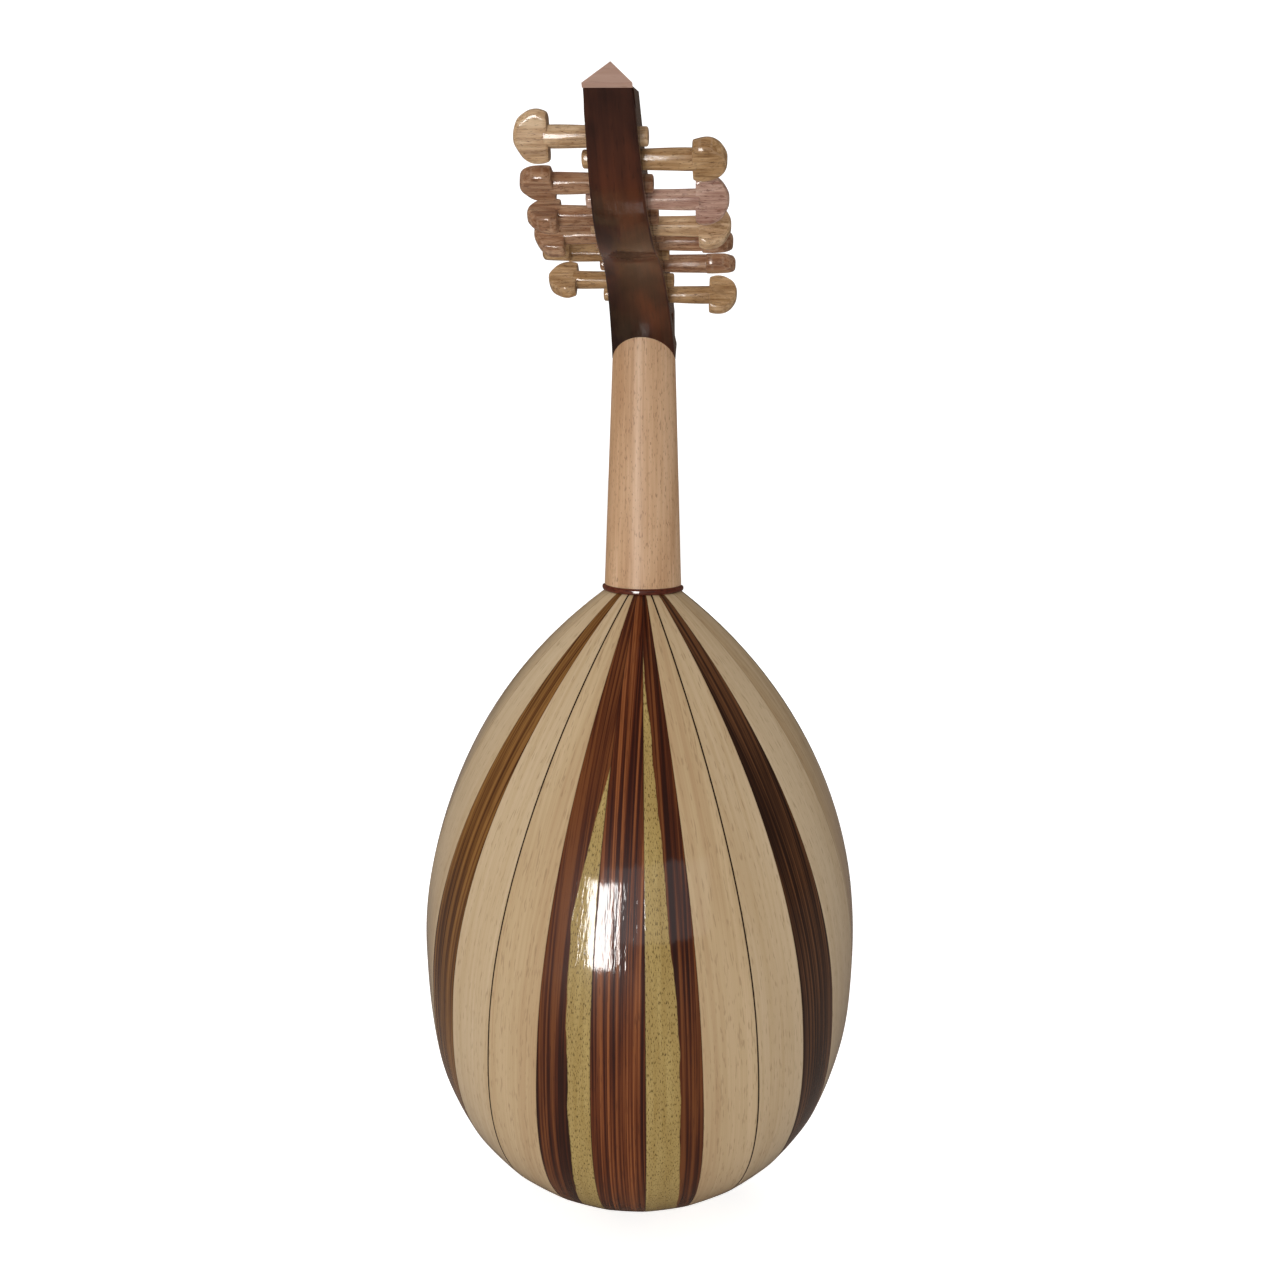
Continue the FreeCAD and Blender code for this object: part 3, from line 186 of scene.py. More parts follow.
def hand_over(piece: bpy.types.Object, body: str, slot: str, material: bpy.types.Material,
              *nodes: str) -> bpy.types.Object:
    """Dress a finished piece, let it ride on its body and stand for its CAD nodes."""
    piece.data.materials.append(material)
    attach(piece, body)
    if nodes:
        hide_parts(*nodes)
    log.info("%s rides on %s", piece.name, body)
    return piece


def swept_tube(path: Array, radius: Array | float, sides: int = 10) -> Solid:
    """A round tube along a path.

    Each section is a circle in the plane square to the path; its first direction is carried from
    the path's mean normal, so the tube doesn't twist.

    Args:
        path: points along the middle line.
        radius: one radius, or one for each point.
        sides: points round the tube.

    Returns:
        The closed tube.
    """
    ahead = np.gradient(path, axis=0)
    ahead /= np.linalg.norm(ahead, axis=1, keepdims=True)
    guide = np.cross(np.roll(ahead, -1, axis=0), ahead).mean(0)
    if np.linalg.norm(guide) < 1e-6:
        guide = np.array([1.0, 0.3, 0.2])
    side = np.cross(ahead, guide)
    side /= np.linalg.norm(side, axis=1, keepdims=True)
    up = np.cross(side, ahead)
    turn = np.linspace(0, 2 * np.pi, sides, endpoint=False)
    radii = np.broadcast_to(np.asarray(radius, float), len(path))[:, None, None]
    ring = np.cos(turn)[None, :, None] * side[:, None] + np.sin(turn)[None, :, None] * up[:, None]
    return Solid.loft(path[:, None] + radii * ring)


# ---------------------------------------------------------------- finishes

class Grain(Enum):
    """Which way a timber's grain runs: along the piece's own values, or along one axis."""

    PIECE = "piece"
    ALONG_X = "x"
    ALONG_Y = "y"
    ALONG_Z = "z"


class Bench:
    """One material's nodes, with short calls for those that the finishes share."""

    def __init__(self, name: str) -> None:
        """Start a material with an empty node tree, one surface shader and the output."""
        self.material = bpy.data.materials.new(name)
        self.material.use_nodes = True
        self.tree = self.material.node_tree
        self.tree.nodes.clear()
        self.surface = self.add("ShaderNodeBsdfPrincipled")
        output = self.add("ShaderNodeOutputMaterial")
        self.join(self.surface.outputs["BSDF"], output.inputs["Surface"])

    def add(self, kind: str, **settings: object) -> bpy.types.Node:
        """A node with its own settings; values of sockets are set apart."""
        node = self.tree.nodes.new(kind)
        for key, value in settings.items():
            setattr(node, key, value)
        return node

    def join(self, source: object, target: bpy.types.NodeSocket) -> None:
        """Link a socket, or set a plain value on the target."""
        if isinstance(source, bpy.types.NodeSocket):
            self.tree.links.new(source, target)
        else:
            target.default_value = (*source, 1.0) if isinstance(source, tuple) and len(source) == 3 \
                and len(target.default_value) == 4 else source

    def attribute(self, name: str, output: str = "Fac") -> bpy.types.NodeSocket:
        """A value that the piece's points carry."""
        return self.add("ShaderNodeAttribute", attribute_name=name).outputs[output]

    def position(self) -> bpy.types.NodeSocket:
        """The point's place on its object."""
        return self.add("ShaderNodeTexCoord").outputs["Object"]

    def stretched(self, vector: bpy.types.NodeSocket, scale: Sequence[float],
                  shift: Sequence[float] = (0.0, 0.0, 0.0)) -> bpy.types.NodeSocket:
        """Coordinates scaled and shifted."""
        node = self.add("ShaderNodeMapping")
        self.join(vector, node.inputs["Vector"])
        node.inputs["Scale"].default_value = scale
        node.inputs["Location"].default_value = shift
        return node.outputs["Vector"]

    def noise(self, vector: bpy.types.NodeSocket, detail: float = 2.0, roughness: float = 0.5,
              distortion: float = 0.0) -> bpy.types.NodeSocket:
        """Smooth noise of about 0 to 1."""
        node = self.add("ShaderNodeTexNoise")
        self.join(vector, node.inputs["Vector"])
        for key, value in (("Scale", 1.0), ("Detail", detail), ("Roughness", roughness),
                           ("Distortion", distortion)):
            node.inputs[key].default_value = value
        return node.outputs["Fac"]

    def ramp(self, factor: bpy.types.NodeSocket,
             stops: Sequence[tuple[float, Colour]]) -> bpy.types.NodeSocket:
        """A colour ramp with the given places and colours."""
        node = self.add("ShaderNodeValToRGB")
        elements = node.color_ramp.elements
        while len(elements) < len(stops):
            elements.new(0.5)
        for element, (place, colour) in zip(elements, stops):
            element.position = place
            element.color = (*colour, 1.0)
        self.join(factor, node.inputs["Fac"])
        return node.outputs["Color"]

    def band(self, value: object, low: float, high: float, start: float = 0.0,
             finish: float = 1.0) -> bpy.types.NodeSocket:
        """A smooth step of value from low to high, giving start to finish."""
        node = self.add("ShaderNodeMapRange", interpolation_type="SMOOTHSTEP")
        for key, given in (("Value", value), ("From Min", low), ("From Max", high),
                           ("To Min", start), ("To Max", finish)):
            self.join(given, node.inputs[key])
        return node.outputs["Result"]

    def maths(self, operation: str, first: object, second: object = 0.0) -> bpy.types.NodeSocket:
        """One sum, such as ADD or MULTIPLY."""
        node = self.add("ShaderNodeMath", operation=operation)
        self.join(first, node.inputs[0])
        self.join(second, node.inputs[1])
        return node.outputs["Value"]

    def mixed(self, factor: object, first: object, second: object) -> bpy.types.NodeSocket:
        """Two colours mixed by a factor."""
        node = self.add("ShaderNodeMix", data_type="RGBA")
        self.join(factor, node.inputs[0])
        self.join(first, node.inputs[6])
        self.join(second, node.inputs[7])
        return node.outputs[2]

    def bump(self, height: object, strength: float, distance: float) -> bpy.types.NodeSocket:
        """A normal that follows a height."""
        node = self.add("ShaderNodeBump")
        node.inputs["Strength"].default_value = strength
        node.inputs["Distance"].default_value = distance
        self.join(height, node.inputs["Height"])
        return node.outputs["Normal"]


@dataclass(frozen=True)
class Timber:
    """Wood with long grain lines, cloudy variation, short flecks and a coat of varnish.

    The grain coordinate runs along the fibres. Lines are noise stretched far along the fibres,
    clouds the same but wide, and flecks are the peaks of short stretched noise.
    """

    name: str
    dark: Colour
    middle: Colour
    light: Colour
    lines: float = 500.0
    line_run: float = 6.0
    line_share: float = 0.5
    clouds: float = 40.0
    cloud_run: float = 5.0
    fleck: Colour = (0.1, 0.05, 0.02)
    flecks: float = 900.0
    fleck_run: float = 110.0
    fleck_share: float = 0.3
    fleck_floor: float = 0.62
    roughness: float = 0.42
    sheen: float = 0.1
    coat: float = 1.0
    coat_roughness: float = 0.06
    ripple: float = 0.12
    ripple_height: float = 0.0006
    relief: float = 0.15
    relief_height: float = 0.0002
    grain: Grain = Grain.PIECE
    edge_dark: float = 0.0
    spread: float = 0.14

    def scaled(self, across: float, along: float) -> tuple[float, float, float]:
        """Scales for the three coordinates, with the smaller one along the grain."""
        places = {Grain.PIECE: 1, Grain.ALONG_X: 0, Grain.ALONG_Y: 1, Grain.ALONG_Z: 2}
        scales = [across] * 3
        scales[places[self.grain]] = along
        return tuple(scales)

    def vector(self, bench: Bench) -> bpy.types.NodeSocket:
        """The coordinate that the grain follows."""
        if self.grain is Grain.PIECE:
            return bench.attribute("grain", "Vector")
        return bench.position()

    def streaks(self, bench: Bench, across: float, along: float,
                shift: Sequence[float] = (0.0, 0.0, 0.0), detail: float = 2.0,
                roughness: float = 0.5, distortion: float = 0.0) -> bpy.types.NodeSocket:
        """Noise of so many waves a metre across the grain and along it, at its own place."""
        place = bench.stretched(self.vector(bench), self.scaled(across, along), shift)
        return bench.noise(place, detail, roughness, distortion)

    def colour(self, bench: Bench) -> tuple[bpy.types.NodeSocket, bpy.types.NodeSocket]:
        """The wood's colour and the height of its grain."""
        lines = self.streaks(bench, self.lines, self.line_run, detail=3.0, roughness=0.6)
        clouds = self.streaks(bench, self.clouds, self.cloud_run, (3.1, 1.7, 9.2), distortion=0.4)
        share = bench.maths("ADD", bench.maths("MULTIPLY", lines, self.line_share),
                            bench.maths("MULTIPLY", clouds, 1.0 - self.line_share))
        base = bench.ramp(share, ((0.5 - self.spread, self.dark), (0.5, self.middle),
                                  (0.5 + self.spread, self.light)))
        flecks = self.streaks(bench, self.flecks, self.fleck_run, (7.7, 2.3, 4.1), detail=1.0)
        mark = bench.band(flecks, self.fleck_floor, self.fleck_floor + 0.1, 0.0, self.fleck_share)
        return bench.mixed(mark, base, self.fleck), lines

    def dress(self, bench: Bench, colour: bpy.types.NodeSocket, height: bpy.types.NodeSocket) -> None:
        """Set the shader: colour, roughness, grain relief and the rippled coat of varnish."""
        surface = bench.surface
        bench.join(colour, surface.inputs["Base Color"])
        surface.inputs["Roughness"].default_value = self.roughness
        surface.inputs["Specular IOR Level"].default_value = self.sheen
        surface.inputs["Coat Weight"].default_value = self.coat
        surface.inputs["Coat Roughness"].default_value = self.coat_roughness
        surface.inputs["Coat IOR"].default_value = 1.52
        bench.join(bench.bump(height, self.relief, self.relief_height), surface.inputs["Normal"])
        if self.coat > 0:
            wave = self.streaks(bench, 230.0, 34.0, (0.4, 5.5, 2.0), 3.0, 0.6)
            bench.join(bench.bump(wave, self.ripple, self.ripple_height), surface.inputs["Coat Normal"])

    def jointed(self, bench: Bench, colour: bpy.types.NodeSocket) -> bpy.types.NodeSocket:
        """The colour darkened within half a millimetre or so of a joint."""
        near = bench.band(bench.attribute("edge"), 0.0001, 0.0006, self.edge_dark, 0.0)
        return bench.mixed(near, colour, self.fleck)

    def make(self) -> bpy.types.Material:
        """The finished material."""
        bench = Bench(self.name)
        colour, height = self.colour(bench)
        if self.edge_dark > 0:
            colour = self.jointed(bench, colour)
        self.dress(bench, colour, height)
        return bench.material


@dataclass(frozen=True)
class TwoTone(Timber):
    """Heartwood with a band of speckled sapwood along the keel-side joint.

    The band is as wide as the distance run beyond its start times its slope, up to a limit, and
    its border wanders with the grain.
    """

    sap_dark: Colour = (0.2, 0.13, 0.03)
    sap_light: Colour = (0.42, 0.3, 0.1)
    sap_start: float = 0.06
    sap_slope: float = 0.08
    sap_limit: float = 0.02
    sap_sway: float = 0.006

    def make(self) -> bpy.types.Material:
        """The finished material."""
        bench = Bench(self.name)
        heart, height = self.colour(bench)
        along = bench.add("ShaderNodeSeparateXYZ")
        bench.join(self.vector(bench), along.inputs["Vector"])
        past = bench.maths("SUBTRACT", along.outputs["Y"], self.sap_start)
        width = bench.maths("MINIMUM", bench.maths("MULTIPLY", past, self.sap_slope), self.sap_limit)
        sway = bench.maths("SUBTRACT", self.streaks(bench, 60.0, 18.0, (1.2, 0.0, 3.3), 3.0, 0.6), 0.5)
        border = bench.maths("ADD", width, bench.maths("MULTIPLY", sway, self.sap_sway))
        inside = bench.band(bench.maths("SUBTRACT", border, bench.attribute("inner")), -0.0003, 0.0006)
        speck = self.streaks(bench, 1500.0, 320.0, (2.0, 8.0, 1.0), 2.0, 0.6)
        tint = self.streaks(bench, 260.0, 14.0, (5.0, 1.0, 0.0), 3.0, 0.6)
        sap = bench.mixed(tint, self.sap_dark, self.sap_light)
        sap = bench.mixed(bench.band(speck, 0.52, 0.66, 0.0, 0.75), sap, self.dark)
        self.dress(bench, self.jointed(bench, bench.mixed(inside, heart, sap)), height)
        return bench.material


@dataclass(frozen=True)
class CarvedTimber(Timber):
    """Knife-cut wood, paler along the ridges between its cut faces, with dark stains and checks along
    the grain.
    """

    rim: Colour = (0.7, 0.55, 0.4)
    stain: Colour = (0.12, 0.06, 0.03)
    stain_share: float = 0.5
    rim_share: float = 0.15
    crack_width: float = 0.012
    relief_height: float = 0.0011

    def make(self) -> bpy.types.Material:
        """The finished material."""
        bench = Bench(self.name)
        colour, _ = self.colour(bench)
        stains = self.streaks(bench, 210.0, 70.0, (9.0, 4.0, 2.0), 4.0, 0.65, 0.8)
        colour = bench.mixed(bench.band(stains, 0.54, 0.72, 0.0, self.stain_share), colour, self.stain)
        checks = self.streaks(bench, 420.0, 36.0, (1.0, 7.0, 6.0), 3.0, 0.55, 1.2)
        off = bench.maths("ABSOLUTE", bench.maths("SUBTRACT", checks, 0.5))
        crack = bench.band(off, 0.0, self.crack_width, 0.75, 0.0)
        colour = bench.mixed(crack, colour, self.stain)
        # The wood is made paler along the ridges where two cut faces meet.
        paler_ridge = bench.band(bench.attribute("rim"), 0.95, 0.998, 0.0, self.rim_share)
        colour = bench.mixed(paler_ridge, colour, self.rim)
        cut = self.streaks(bench, 330.0, 130.0, (0.0, 2.0, 5.0))
        self.dress(bench, colour, bench.maths("ADD", cut, bench.maths("MULTIPLY", crack, -0.7)))
        return bench.material


@dataclass(frozen=True)
class WoundString:
    """A string: smooth nylon, or fine silvered wire wound round silk, ribbed along its length."""

    name: str
    colour: Colour
    metal: float
    roughness: float
    waves: float = 260.0

    def make(self) -> bpy.types.Material:
        """The finished material: a wave along the string is the winding."""
        bench = Bench(self.name)
        node = bench.add("ShaderNodeTexWave", bands_direction="Z")
        bench.join(bench.position(), node.inputs["Vector"])
        node.inputs["Scale"].default_value = self.waves
        tarnish = bench.noise(bench.stretched(bench.position(), (90.0, 90.0, 25.0)), 3.0, 0.6)
        dull = tuple(part * 0.6 for part in self.colour)
        shade = bench.ramp(tarnish, ((0.3, dull), (0.7, self.colour)))
        bench.join(shade, bench.surface.inputs["Base Color"])
        bench.surface.inputs["Metallic"].default_value = self.metal
        bench.surface.inputs["Roughness"].default_value = self.roughness
        bench.join(bench.bump(node.outputs["Fac"], 0.3 * self.metal + 0.02, 0.0001),
                   bench.surface.inputs["Normal"])
        return bench.material


HEART_FLECK = tone(42, 16, 8)
PALE_FLECK = tone(128, 96, 62)


class Finishes:
    """Every finish of the instrument, made once."""

    def __init__(self) -> None:
        """Mix all the finishes."""
        pale = dict(lines=420.0, line_run=5.0, line_share=0.4, clouds=26.0, cloud_run=3.2,
                    fleck=PALE_FLECK, flecks=950.0, fleck_run=95.0, fleck_share=0.34,
                    fleck_floor=0.6, roughness=0.4, ripple=0.07, edge_dark=0.55)
        self.light = Timber("pale_rib", tone(190, 162, 124), tone(202, 177, 142),
                            tone(212, 189, 156), **pale).make()
        self.light_warm = Timber("pale_rib_warm", tone(184, 153, 115), tone(197, 170, 132),
                                 tone(209, 183, 147), **pale).make()
        self.center = Timber("centre_rib", tone(48, 12, 2), tone(94, 43, 15), tone(142, 82, 42),
                             lines=520.0, line_run=2.5, line_share=0.8, fleck=HEART_FLECK,
                             flecks=1300.0, fleck_run=60.0, fleck_share=0.5, ripple=0.3,
                             edge_dark=0.7, spread=0.1).make()
        brown = dict(lines=420.0, line_run=3.0, line_share=0.75, fleck=HEART_FLECK, flecks=1300.0,
                     fleck_run=60.0, fleck_share=0.4, ripple=0.24, edge_dark=0.7, spread=0.09)
        self.dark_left = Timber("dark_rib_left", tone(66, 34, 8), tone(108, 69, 30),
                                tone(142, 98, 50), **brown).make()
        self.dark_right = Timber("dark_rib_right", tone(38, 17, 6), tone(70, 41, 22),
                                 tone(104, 66, 38), **brown).make()
        heart = (tone(42, 12, 2), tone(74, 31, 10), tone(112, 62, 28))
        sap = dict(lines=420.0, line_run=3.0, line_share=0.7, fleck=HEART_FLECK, flecks=1300.0,
                   fleck_run=60.0, fleck_share=0.4, ripple=0.28, edge_dark=0.6, spread=0.09,
                   sap_dark=tone(146, 116, 58), sap_light=tone(196, 172, 110))
        self.two_left = TwoTone("two_tone_left", *heart, sap_start=0.135, sap_slope=0.16,
                                sap_limit=0.0165, **sap).make()
        self.two_right = TwoTone("two_tone_right", *heart, sap_start=0.05, sap_slope=0.085,
                                 sap_limit=0.0235, **sap).make()
        self.purfling = Timber("purfling_black", tone(16, 10, 8), tone(26, 18, 14), tone(36, 26, 20),
                               grain=Grain.ALONG_Z).make()
        self.inner = Timber("inner_spruce", tone(176, 138, 92), tone(196, 160, 112),
                            tone(210, 178, 132), coat=0.0, grain=Grain.ALONG_X, lines=700.0).make()
        self.cap = Timber("end_cap_wood", tone(50, 20, 10), tone(84, 40, 22), tone(112, 62, 38),
                          grain=Grain.ALONG_X).make()
        self.board = Timber("soundboard_spruce", tone(190, 140, 84), tone(214, 168, 108),
                            tone(228, 188, 132), lines=620.0, line_run=2.0, line_share=0.85,
                            flecks=600.0, fleck_run=40.0, fleck=tone(150, 104, 58), fleck_share=0.2,
                            coat=0.35, coat_roughness=0.25, ripple=0.03, grain=Grain.ALONG_Z).make()
        self.binding = Timber("binding_wood", tone(40, 16, 10), tone(64, 30, 18), tone(92, 48, 30),
                              grain=Grain.ALONG_Z).make()
        self.rosette = Timber("rosette_wood", tone(60, 32, 16), tone(92, 54, 30), tone(122, 78, 46),
                              coat=0.3, coat_roughness=0.3, grain=Grain.ALONG_Z).make()
        self.guard = Timber("guard_wood", tone(46, 20, 12), tone(78, 36, 20), tone(108, 58, 34),
                            lines=600.0, grain=Grain.ALONG_Z).make()
        self.neck = Timber("neck_beech", tone(192, 150, 112), tone(210, 171, 134), tone(221, 186, 152),
                           lines=520.0, line_run=7.0, line_share=0.45, fleck=tone(132, 88, 58),
                           flecks=1150.0, fleck_run=240.0, fleck_share=0.5, fleck_floor=0.6,
                           coat=0.3, coat_roughness=0.42, ripple=0.05, grain=Grain.ALONG_Z).make()
        self.ring = Timber("ring_wood", tone(48, 16, 8), tone(86, 36, 22), tone(118, 60, 40),
                           grain=Grain.ALONG_X, ripple=0.2).make()
        self.fingerboard = Timber("fingerboard_ebony", tone(18, 12, 10), tone(32, 22, 18),
                                  tone(52, 36, 28), coat=0.4, coat_roughness=0.2,
                                  grain=Grain.ALONG_Z).make()
        self.nut = Timber("nut_bone", tone(214, 202, 170), tone(228, 218, 192), tone(238, 230, 208),
                          coat=0.5, coat_roughness=0.15, fleck=tone(190, 170, 130), fleck_share=0.2,
                          grain=Grain.ALONG_X).make()
        walnut = dict(dark=tone(36, 13, 6), middle=tone(60, 28, 16), light=tone(86, 42, 22),
                      lines=300.0, line_run=9.0, line_share=0.2, clouds=34.0, cloud_run=18.0, coat=1.0,
                      coat_roughness=0.12, ripple=0.3, fleck=tone(24, 9, 5))
        self.pegbox = Timber("pegbox_walnut", grain=Grain.ALONG_Z, **walnut).make()
        self.spine = Timber("pegbox_back_walnut", **walnut).make()
        self.tip = Timber("end_plate_wood", tone(160, 124, 106), tone(176, 142, 126),
                          tone(190, 158, 142), lines=420.0, line_run=40.0, line_share=0.2, coat=0.3,
                          coat_roughness=0.3, fleck=tone(130, 92, 76), grain=Grain.ALONG_X).make()
        self.bridge = Timber("bridge_walnut", tone(70, 38, 22), tone(104, 62, 38), tone(134, 88, 58),
                             coat=0.5, coat_roughness=0.2, grain=Grain.ALONG_X).make()
        self.nylon = WoundString("string_nylon", tone(226, 216, 196), 0.0, 0.25).make()
        self.wound = WoundString("string_wound", tone(196, 186, 170), 0.9, 0.32).make()

    @staticmethod
    def peg(name: str, hue: "PegHue") -> bpy.types.Material:
        """A peg's own carved wood."""
        dark, middle, light, stain = hue.value
        return CarvedTimber(f"{name}_wood", dark, middle, light, lines=520.0, line_run=34.0,
                            clouds=130.0, cloud_run=40.0, line_share=0.6, flecks=1400.0,
                            fleck_run=260.0, fleck=stain, fleck_share=0.5, roughness=0.38, coat=0.75,
                            coat_roughness=0.14, ripple=0.35, relief=0.5, stain=stain,
                            rim=tone(222, 194, 164)).make()


class PegHue(Enum):
    """The colours that the pegs' wood has: dark, middle and light grain, and stain."""

    TAN = (tone(156, 120, 84), tone(196, 160, 122), tone(218, 188, 152), tone(98, 62, 36))
    PINK = (tone(150, 108, 92), tone(186, 148, 130), tone(214, 182, 164), tone(104, 60, 48))
    GOLD = (tone(140, 102, 64), tone(176, 138, 96), tone(204, 168, 126), tone(84, 54, 30))
    BROWN = (tone(126, 84, 58), tone(160, 118, 88), tone(190, 152, 120), tone(74, 40, 24))


# ---------------------------------------------------------------- bowl

@dataclass(frozen=True)
class Joint:
    """An edge between ribs: its number out from the keel, its side and its shift along the section."""

    number: int
    side: int
    shift: float = 0.0


@dataclass
class Bowl:
    """The bowl's ribs, each a curved strip with eased joints over the CAD's flat one."""

    finishes: Finishes
    top: float = -0.2
    length: float = 0.493
    half_width: float = 0.1728
    neck_half: float = 0.029
    widest: float = 0.287
    fullness: float = 2.56
    ratio_neck: float = 0.835
    ratio_mid: float = 0.972
    spread: float = 0.55
    thickness: float = 0.003
    tail_gap: float = 0.010
    line_half: float = 0.00045
    neck_angles: tuple[float, ...] = (4.0, 9.0, 17.0, 28.0, 37.5, 56.0, 90.0)
    wide_angles: tuple[float, ...] = (6.2, 19.0, 32.8, 47.0, 60.3, 77.0, 90.0)
    lined_joint: int = 3
    crown: float = 0.55
    groove: float = 0.00016
    groove_half: float = 0.0005
    stations: int = 190
    across: int = 21

    def outline(self, place: Array) -> tuple[Array, Array]:
        """Drop below the neck joint and half-width of the bowl's edge.

        Place runs from 0 at the joint to 1 at the widest along a circular arc, then to 2 at the
        tail along a quarter superellipse read by the angle of its ray.
        """
        rise = self.half_width - self.neck_half
        radius = (self.widest ** 2 + rise ** 2) / (2 * rise)
        sweep = math.asin(self.widest / radius) * (1 - np.minimum(place, 1))
        upper = (self.widest - radius * np.sin(sweep), self.half_width - radius * (1 - np.cos(sweep)))
        ray = np.pi / 2 * (2 - np.maximum(place, 1))
        lower = self.length - self.widest
        reach = ((np.cos(ray) / lower) ** self.fullness
                 + (np.sin(ray) / self.half_width) ** self.fullness) ** (-1 / self.fullness)
        below = (self.widest + reach * np.cos(ray), reach * np.sin(ray))
        return np.where(place <= 1, upper[0], below[0]), np.where(place <= 1, upper[1], below[1])

    def last_place(self) -> float:
        """Where the ribs stop short of the tail, tail_gap from the middle."""
        places = np.linspace(1.5, 2.0, 4001)
        half = self.outline(places)[1]
        return float(places[np.argmax(half <= self.tail_gap)])

    def angle(self, number: int, drop: Array) -> Array:
        """Polar angle of a joint from the keel: its angle at the neck opens to that at the widest."""
        if number == 0:
            return np.zeros_like(drop)
        neck, wide = self.neck_angles[number - 1], self.wide_angles[number - 1]
        return np.radians(neck + (wide - neck) * (np.maximum(drop, 0) / self.widest) ** self.spread)

    def point(self, place: Array, inset: float, angle: Array) -> Array:
        """Points at a polar angle on the bowl's section, which is a half ellipse of growing depth."""
        step = 1e-3
        low, high = self.outline(np.maximum(place - step, 0)), self.outline(np.minimum(place + step, 2))
        run = np.hypot(high[0] - low[0], high[1] - low[1])
        drop, half = self.outline(place)
        down = drop + inset * (high[1] - low[1]) / run
        wide = half - inset * (high[0] - low[0]) / run
        ratio = self.ratio_neck + (self.ratio_mid - self.ratio_neck) * np.sin(
            np.clip(drop / self.widest, 0, 1) * np.pi / 2)
        return np.stack([wide * np.sin(angle), ratio * wide * np.cos(angle), self.top - down], axis=-1)

    def joint_angle(self, joint: Joint, place: Array) -> Array:
        """Signed polar angle of a joint, with its shift along the section."""
        drop, half = self.outline(place)
        return joint.side * (self.angle(joint.number, drop) + joint.shift / half)

    def rib(self, low: Joint, high: Joint, seed: float) -> Solid:
        """One rib between two joints.

        Across the rib the outer face is the chord between the joints, plus a share of the true
        section's rise that falls to nothing at each joint as 4t(1 - t), less a fine groove of
        Gaussian section at each joint. The inner face is the chord at the rib's thickness.

        Args:
            low: the keel-side joint.
            high: the other joint.
            seed: a number that gives the rib its own piece of grain.

        Returns:
            The closed rib, carrying grain (across, along, seed), edge and inner distances.
        """
        place = np.linspace(0, self.last_place(), self.stations)
        first, second = self.joint_angle(low, place), self.joint_angle(high, place)
        start, finish = self.point(place, 0, first), self.point(place, 0, second)
        ridge = self.point(place, 0, (first + second) / 2)
        share = (1 - np.cos(np.linspace(0, np.pi, self.across))) / 2
        t = share[None, :, None]
        rise = (ridge - (start + finish) / 2)[:, None]
        outer = start[:, None] * (1 - t) + finish[:, None] * t + self.crown * rise * 4 * t * (1 - t)
        chord = np.linalg.norm(finish - start, axis=1)
        gap = np.minimum(share[None], 1 - share[None]) * chord[:, None]
        normal = np.cross(np.gradient(outer, axis=0), np.gradient(outer, axis=1))
        normal /= np.maximum(np.linalg.norm(normal, axis=-1, keepdims=True), 1e-12)
        middle = outer * np.array([1, 1, 0])
        normal *= np.sign(np.einsum("ijk,ijk->ij", normal, middle))[..., None]
        outer = outer - normal * (self.groove * np.exp(-(gap / self.groove_half) ** 2))[..., None]
        back = np.linspace(1, 0, 6)
        inner_start = self.point(place, self.thickness, first)
        inner_finish = self.point(place, self.thickness, second)
        u = back[None, :, None]
        inner = inner_start[:, None] * (1 - u) + inner_finish[:, None] * u
        sections = np.concatenate([outer, inner], axis=1)
        along = np.concatenate([[0], np.cumsum(np.linalg.norm(np.diff(ridge, axis=0), axis=1))])
        shares = np.concatenate([share, back])
        across = (shares[None] - 0.5) * chord[:, None]
        grain = np.stack([across, np.broadcast_to(along[:, None], across.shape),
                          np.full(across.shape, seed)], axis=-1)
        edge = np.minimum(shares[None], 1 - shares[None]) * chord[:, None]
        inner_gap = shares[None] * chord[:, None]
        return Solid.loft(sections, {"grain": grain, "edge": edge, "inner": inner_gap})

    def build(self) -> None:
        """Make the centre rib and six pairs, and dress the purflings, cap and inner parts."""
        self.place_rib("rib_center", Joint(1, -1), Joint(1, 1), 0.31, self.finishes.center, "dark_rib")
        for label, side in (("left", 1), ("right", -1)):
            for number in range(1, len(self.neck_angles)):
                low_shift = self.line_half if number == self.lined_joint else 0.0
                high_shift = -self.line_half if number + 1 == self.lined_joint else 0.0
                material, slot = self.rib_finish(number, side)
                low, high = Joint(number, side, low_shift), Joint(number + 1, side, high_shift)
                seed = number * 0.37 + side * 0.11
                self.place_rib(f"rib_{label}_{number}", low, high, seed, material, slot)
        dress(self.finishes.purfling, "purfling_left", "purfling_right")
        dress(self.finishes.cap, "end_cap")
        dress(self.finishes.inner, "neck_block", "tail_block", "lining", "braces")

    def rib_finish(self, number: int, side: int) -> tuple[bpy.types.Material, str]:
        """Material and slot of a rib by its number and side."""
        if number == 1:
            return (self.finishes.two_left if side > 0 else self.finishes.two_right), "two_tone_rib"
        if number == 4:
            return (self.finishes.dark_left if side > 0 else self.finishes.dark_right), "dark_rib"
        return (self.finishes.light if number % 2 else self.finishes.light_warm), "light_rib"

    def place_rib(self, node: str, low: Joint, high: Joint, seed: float,
                  material: bpy.types.Material, slot: str) -> None:
        """Build one rib over its CAD node."""
        piece = self.rib(low, high, seed).facing_out().build(f"{node}_strip", 50.0)
        hand_over(piece, ROOT_BODY, slot, material, node)


def dress(material: bpy.types.Material, *nodes: str) -> None:
    """Give CAD nodes their finish."""
    for node in nodes:
        shown = frame["nodes"][node]
        shown.data.materials.clear()
        shown.data.materials.append(material)
        log.info("%s dressed as %s", node, material.name)


# ---------------------------------------------------------------- pegs

